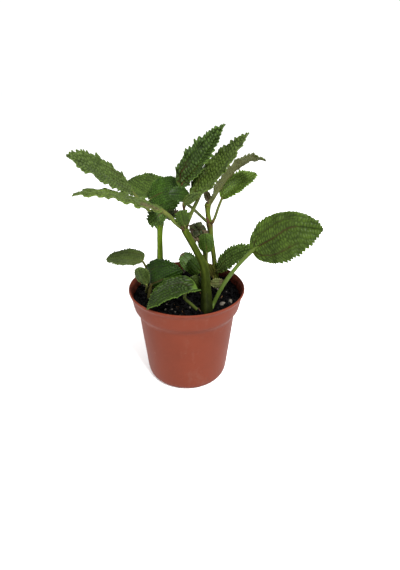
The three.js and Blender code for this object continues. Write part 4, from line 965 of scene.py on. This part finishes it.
def bract(s, base, tip, width, bulge, thick=0.35, curl=0.5, brown=1.0, height=0.8):
    """A small pointed papery scale standing at a joint of the stem."""
    base, tip, bulge = np.array(base, float), np.array(tip, float), unit(bulge)
    ax = tip - base
    ln = float(np.linalg.norm(ax))
    ax = ax / ln
    bulge = unit(bulge - ax * float(ax @ bulge))
    sd = np.cross(ax, bulge)
    nt, nv = 22, 13
    t, v = np.meshgrid(np.linspace(0, 1, nt), np.linspace(-1, 1, nv), indexing="ij")
    w = width / 2 * outline(0.04 + 0.93 * t, 0.35, 0.8)
    P = base + (t * ln)[..., None] * ax + (w * v)[..., None] * sd + (ln * 0.22 * np.sin(np.pi * t) - curl * w * v * v * 1.2)[..., None] * bulge
    rip = fbm(P.reshape(-1, 3), 1.4, 3).reshape(t.shape) - 0.5
    P = P + (rip * 0.5)[..., None] * bulge
    h = thick / 2 * (1 - v ** 4)
    top, low = P + h[..., None] * bulge, P - h[..., None] * bulge
    ring = []
    for i in range(nt):
        loop = [top[i, j] for j in range(nv)] + [low[i, j] for j in range(nv - 2, 0, -1)]
        ring.append(loop)
    cols = 2 * nv - 2
    verts = np.array(ring).reshape(-1, 3)
    faces = grid_faces(nt, cols, True)
    faces.append(tuple(range(cols))[::-1])
    faces.append(tuple(range((nt - 1) * cols, nt * cols)))
    s.add(verts, faces, height=height, ridge=0.2, brown=brown)


# ---------------------------------------------------------------- assembly
GAIN = 0.50
POT_GAIN = 0.42
SOIL_GAIN = 0.5


# dry flakes: position, half sizes, turn, paleness
FLAKES = [
    (20.2, 12.6, 86.6, (2.6, 0.9, 1.9), (0.5, 0.7, 0.4), 0.9), (22.6, 10.6, 85.9, (2.4, 0.8, 1.6), (-0.4, 0.3, 1.2), 0.75),
    (24.6, 12.4, 87.2, (1.7, 0.7, 2.1), (0.3, -0.6, 2.1), 0.6), (12.2, 4.2, 84.9, (2.2, 0.8, 1.5), (0.4, -0.5, 0.2), 0.8),
    (12.6, -3.0, 84.6, (1.9, 0.7, 1.1), (0.2, 0.5, 1.9), 0.7), (17.2, -2.2, 84.6, (2.1, 0.6, 0.9), (0.0, 0.2, 0.9), 0.6),
]


def scaled(c, name):
    k = MULT.get(name, MULT["other"])
    return (min(0.9, c[0] * k[0]), min(0.9, c[1] * k[1]), min(0.9, c[2] * k[2]), 1.0)


ICO = {1: ico(1), 2: ico(2), 3: ico(3)}

G = lambda r, g, b, k=1.0: srgb(r, g, b, GAIN * k)
STALK = G(108, 118, 62)
RED = G(96, 58, 40)
WIDEN = {"leaf_top_middle": (-0.1, 0.22)}  # basal lobes broader on one side: (left, right)
# colour of the upper side, underside, stalk, veins, then the leaf's own shape words; these words also carry dark, the
# painted shade in the recesses between the domes, and the strength of the painted highlight on the dome tops
TONES = {
    "leaf_upper_left": (G(87, 105, 56), G(104, 112, 74), G(92, 104, 52), G(104, 96, 62), {}),
    "leaf_left_drooping": (G(118, 134, 80), G(118, 122, 84), G(99, 112, 58), G(122, 104, 70), {"dry": [(0.13, 0.45, 0.13, 0.5, 0.6)], "tooth": 1.7, "tooth_pitch": 3.6}),
    "leaf_top_left": (G(64, 82, 41), G(92, 100, 62), G(88, 98, 52), G(92, 40, 34), {"red_stalk": 0.7, "vein_end": 0.4, "dark": 0.42, "dome_painted_highlight": 1.41, "rim_gain": 1.9}),
    "leaf_top_middle": (G(78, 96, 44), G(96, 104, 64), G(90, 102, 52), G(92, 84, 50), {}),
    "leaf_top_right": (G(78, 94, 46), G(102, 104, 66), G(90, 96, 52), G(66, 54, 34), {"vein_end": 0.95, "vein_w": 0.4}),
    "leaf_right_back": (G(78, 98, 41), G(98, 104, 66), G(90, 100, 52), G(96, 84, 52), {}),
    "leaf_left_back": (G(82, 102, 47), G(100, 106, 68), G(90, 100, 52), G(98, 92, 56), {"dark": 0.37, "dome_painted_highlight": 1.45, "rim_gain": 1.9}),
    "leaf_centre_front": (G(69, 90, 39), G(96, 104, 64), G(92, 104, 56), G(78, 66, 42), {"rim_gain": 2.3, "dark": 0.44, "quilt": 1.1, "wave": 2.0, "vein_end": 0.42}),
    "leaf_centre_young": (G(66, 92, 48), G(110, 118, 78), G(100, 112, 62), G(84, 98, 56), {"quilt": 0.16, "rim_gain": 1.6}),
    "leaf_left_low": (G(50, 70, 29), G(88, 96, 58), G(86, 84, 50), G(78, 66, 40), {"dark": 0.42, "tooth": 2.4}),
    "leaf_front_low": (G(56, 72, 36), G(96, 104, 64), G(80, 92, 46), G(66, 66, 38), {"rim_gain": 3.4, "dark": 0.32, "quilt": 1.4, "cell": (2.9, 3.5), "tooth": 2.4, "dome_painted_highlight": 1.77}),
    "leaf_right_low": (G(61, 79, 35), G(94, 102, 62), G(84, 94, 48), G(92, 74, 48), {}),
    "leaf_left_far": (G(78, 93, 50), G(100, 106, 70), G(92, 96, 56), G(96, 88, 58), {}),
    "leaf_left_small": (G(96, 116, 60), G(112, 122, 76), G(104, 112, 64), G(108, 112, 64), {"dark": 0.42, "rim_gain": 2.0, "dome_painted_highlight": 1.45}),
    "leaf_middle_round": (G(66, 86, 36), G(98, 106, 66), G(94, 104, 56), G(92, 88, 50), {"quilt": 0.45}),
    "leaf_middle_dark": (G(46, 62, 24), G(84, 92, 54), G(80, 84, 46), G(78, 64, 40), {}),
    "leaf_middle_low": (G(60, 78, 34), G(94, 100, 60), G(88, 94, 50), G(86, 76, 46), {}),
    "leaf_back_olive": (G(84, 90, 50), G(104, 98, 66), G(96, 88, 56), G(96, 62, 54), {"dry": [(1.0, 0.0, 0.10, 1.0, 0.8)], "vein_end": 0.9}),
    "leaf_right_large": (G(80, 98, 43), G(100, 106, 66), G(84, 106, 48), G(66, 46, 28), {"vein_end": 0.72, "lat_vein": 0.8, "lat_end": (0.72, 0.22), "vein_w": 0.36, "rim_gain": 1.5, "red_stalk": 0.15, "dark": 0.62, "cell": (1.95, 4.0), "lean": 0.15, "jitter": 0.5, "quilt": 0.75, "tooth": 1.7, "tooth_pitch": 2.7, "vein_shift": 0.22, "roll": (0.0, 0.75), "lateral": (0.62, 0.5), "dome_painted_highlight": 1.16}),
    "leaf_centre_pale": (G(92, 108, 56), G(110, 118, 70), G(96, 74, 50), G(104, 110, 62), {"quilt": 0.3, "tooth": 1.0, "rim_gain": 1.4}),
    "leaf_centre_drooping": (G(70, 90, 42), G(96, 104, 64), G(92, 100, 54), G(90, 76, 48), {"tooth": 4.2, "tooth_pitch": 5.4, "wave": 2.4, "dark": 0.42, "dome_painted_highlight": 1.45}),
    "leaf_centre_small": (G(52, 62, 30), G(84, 84, 50), G(80, 76, 44), G(74, 50, 34), {"dry": [(0.95, 0.3, 0.2, 0.9, 0.7)], "wave": 2.0, "tooth": 2.6, "tooth_pitch": 4.0}),
    "leaf_node_front": (G(74, 96, 46), G(104, 112, 70), G(100, 108, 60), G(92, 92, 54), {"quilt": 0.5, "tooth": 2.8, "tooth_pitch": 4.4, "dark": 0.62}),
    "leaf_middle_curled": (G(50, 60, 32), G(84, 80, 52), G(84, 76, 48), G(78, 52, 36), {"dry": [(0.5, -0.5, 0.3, 0.5, 0.9), (0.3, 0.9, 0.3, 0.4, 0.7)], "wave": 6.0, "tooth": 5.0, "tooth_pitch": 6.5, "scraps": [
        ((11.5, 16.5, 140.0), (2.6, 12.0, 142.0), 6.5, (-0.2, -0.7, 0.7), 0.25), ((14.0, 15.5, 141.5), (8.2, 10.5, 146.0), 6.0, (0.1, -0.8, 0.5), 0.15),
        ((14.5, 15.5, 138.5), (18.6, 11.5, 135.0), 6.0, (0.5, -0.8, 0.2), 0.6), ((12.5, 14.0, 134.5), (11.5, 10.5, 128.6), 6.5, (0.1, -0.9, 0.1), 0.5),
        ((8.5, 13.5, 134.0), (2.4, 11.0, 129.6), 6.0, (-0.4, -0.8, 0.1), 0.35), ((11.0, 13.0, 139.0), (7.0, 9.6, 134.0), 6.0, (-0.1, -0.9, 0.4), 0.2)]}),
    "leaf_base_young": (G(104, 110, 72), G(116, 114, 80), G(110, 106, 64), G(112, 92, 64), {"dry": [(0.95, 0.2, 0.3, 1.0, 0.6)], "quilt": 0.15, "wave": 2.4, "ticks": 0.1, "dark": 0.8, "dome_painted_highlight": 1.1}),
    "leaf_back_young": (G(104, 108, 58), G(116, 116, 70), G(112, 108, 64), G(104, 88, 56), {"quilt": 0.3}),
    "leaf_top_bud": (G(74, 66, 40), G(96, 78, 56), G(92, 76, 52), G(84, 44, 40), {"quilt": 0.15, "tooth": 0.8, "dry": [(0.95, 0.0, 0.25, 1.0, 0.5)]}),
}
STEM_LOOKS = {
    "stem_front": {"low": G(40, 45, 23), "high": G(122, 136, 66), "brown": G(84, 70, 46), "ribs": 4, "rib": 0.05,
                   "nodes": [(0.875, 0.16), (0.42, 0.08)], "rings": [(0.885, 0.5)],
                   "bracts": [dict(base=(-2.6, -17.6, 150.0), tip=(-3.6, -19.0, 156.0), width=3.6, bulge=(-0.5, -0.8, 0.1)),
                              dict(base=(0.2, -16.5, 151.5), tip=(0.6, -16.2, 160.5), width=2.6, bulge=(0.5, -0.8, 0.1), brown=0.8)]},
    "stem_left": {"low": G(70, 82, 34), "high": G(92, 112, 40), "brown": G(112, 84, 58), "ribs": 4, "rib": 0.05,
                  "nodes": [(0.84, 0.16), (0.45, 0.1)], "rings": [(0.84, 0.6)],
                  "bracts": [dict(base=(-24.8, 11.4, 144.6), tip=(-28.8, 9.0, 150.6), width=5.2, bulge=(-0.6, -0.8, 0.2)),
                             dict(base=(-22.0, 12.0, 146.2), tip=(-20.0, 11.0, 153.0), width=4.4, bulge=(0.5, -0.8, 0.1), brown=0.35)]},
    "stem_back": {"low": G(66, 74, 34), "high": G(92, 106, 52), "brown": G(100, 66, 52), "ribs": 4, "rib": 0.05,
                  "nodes": [(0.62, 0.15), (0.87, 0.12)], "rings": [(0.62, 0.7), (0.87, 0.5)],
                  "bracts": [dict(base=(20.0, 25.6, 140.5), tip=(18.4, 24.6, 147.5), width=4.2, bulge=(-0.4, -0.9, 0.1), brown=0.9),
                             dict(base=(22.6, 26.0, 139.8), tip=(25.2, 24.6, 145.6), width=4.0, bulge=(0.5, -0.8, 0.1), brown=0.8)]},
    "stem_middle": {"low": G(64, 72, 34), "high": G(86, 98, 48), "brown": G(100, 70, 50), "ribs": 3, "rib": 0.05,
                    "nodes": [(0.6, 0.12)], "rings": [(0.97, 0.6)], "bracts": []},
}
# dark and the dome highlight value here set the painted shade in the quilting recesses and the painted highlight on the
# dome tops
LOOK = {"tooth_pitch": 3.2, "tooth": 2.0, "wave": 1.2, "lateral": (0.58, 0.58), "lean": 0.35, "cell": (2.6, 3.2), "jitter": 0.6, "quilt": 0.85,
        "groove": 0.45, "vein_w": 0.30, "vein_end": 0.5, "lat_vein": 0.45, "lat_end": (0.3, 0.3), "ticks": 0.5, "red_stalk": 0.3, "dry": [],
        "scraps": [], "vein_shift": 0.0, "bow": (0.62, 0.22), "roll": (0.0, 0.0), "dark": 0.52, "dome_painted_highlight": 1.27}

for L in LEAVES:
    top, under, stalk, vein, words = TONES[L["name"]]
    words = dict(words)
    mat = leaf_material(L["name"], scaled(top, L["name"]), scaled(under, L["name"]), scaled(stalk, "stalks"), scaled(vein, "stalks"),
                        rim_gain=words.pop("rim_gain", 1.5), recess_painted_shade=words.pop("dark", 0.5), dome_painted_highlight=words.pop("dome_painted_highlight", 1.3))
    o = leaf(L, mat, words)
    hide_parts(L["name"])
    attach(o, "root")

for name, rows in STEMS:
    o = build_stem(name, rows, STEM_LOOKS[name])
    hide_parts(name)
    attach(o, "root")

pot = build_pot()
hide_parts("pot")
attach(pot, "root")

soil = build_soil()
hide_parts("soil")
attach(soil, "root")

white = perlite_material()
for i, (name, c, half) in enumerate(GRAINS):
    rnd = np.random.RandomState(5 + i)
    s = Soup(["shade"])
    lump(s, c, half, (0.2, 0.1, 0.5 + i), 3, rnd, 0.2, 0.7)
    o = s.make("perlite_" + name, white)
    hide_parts(name)
    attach(o, "root")
s = Soup(["shade"])
rnd = np.random.RandomState(77)
SPECKS = [(-18.5, -29.0, 1.1), (-13.0, -29.1, 0.8), (-10.3, -34.0, 0.9), (-17.6, -20.7, 1.0), (2.5, -26.1, 0.9), (9.3, -28.2, 1.0), (-23.5, -24.0, 0.8), (38.2, 13.6, 1.1)]
for k in range(46):
    r, a = 44 * math.sqrt(rnd.rand()), rnd.rand() * 2 * math.pi
    x, y = r * math.cos(a), r * math.sin(a)
    if y < -8 and abs(x) < 45:
        continue
    SPECKS.append((x, y, 0.5 + 1.1 * rnd.rand() ** 2))
for x, y, r in SPECKS:
    z = float(soil_height(np.array([x]), np.array([y]))[0])
    lump(s, (x, y, z + 0.9), r * (0.7 + 0.5 * rnd.rand(3)), rnd.rand(3) * 6, 2, rnd, 0.25, 0.6)
o = s.make("perlite_specks", white)
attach(o, "root")

# ---------------------------------------------------------------- floor, light, camera
fm = bpy.data.materials.new("pale_floor")
fm.use_nodes = True
fb = fm.node_tree.nodes["Principled BSDF"]
fb.inputs["Base Color"].default_value = (0.94, 0.94, 0.94, 1)
fb.inputs["Roughness"].default_value = 0.9
fb.inputs["Specular IOR Level"].default_value = 0.0
bpy.ops.mesh.primitive_plane_add(size=8.0, location=(0, 0, -0.0003))
floor = bpy.context.object
floor.name = "floor"
floor.data.materials.append(fm)

scene = bpy.context.scene
world = bpy.data.worlds.new("studio")
world.use_nodes = True
world.node_tree.nodes["Background"].inputs[0].default_value = (1.0, 1.0, 1.0, 1)
world.node_tree.nodes["Background"].inputs[1].default_value = 1.05
scene.world = world
scene.view_settings.view_transform = "Standard"
scene.view_settings.look = "None"


def area(name, where, at, size, watts, colour=(1, 1, 1)):
    d = bpy.data.lights.new(name, "AREA")
    d.shape = "DISK"
    d.size = size
    d.energy = watts
    d.color = colour
    o = bpy.data.objects.new(name, d)
    o.location = where
    o.rotation_euler = (Vector(at) - Vector(where)).to_track_quat("-Z", "Y").to_euler()
    scene.collection.objects.link(o)
    return o


area("key", (0.42, -0.75, 1.1), (0, 0, 0.13), 0.42, 36.0)
area("fill", (-0.8, -0.6, 0.7), (0, 0, 0.13), 0.7, 7.0)

right = Vector((0.99948566, -0.03108657, 0.00787647))
up = Vector((0.00763937, 0.46934202, 0.88298341))
fwd = Vector((0.03114568, 0.88246909, -0.4693381))
cam_data = bpy.data.cameras.new("camera")
cam_data.sensor_fit = "AUTO"
cam_data.sensor_width = 36.0
cam_data.lens = 420.834 * 36.0 / 570.0
cam_data.clip_start = 0.01
cam_data.clip_end = 50
cam = bpy.data.objects.new("camera", cam_data)
R = Matrix((right, up, -fwd)).transposed().to_4x4()
cam.matrix_world = Matrix.Translation(Vector((0.0, -338.632, 271.315)) * MM) @ R
scene.collection.objects.link(cam)
scene.camera = cam
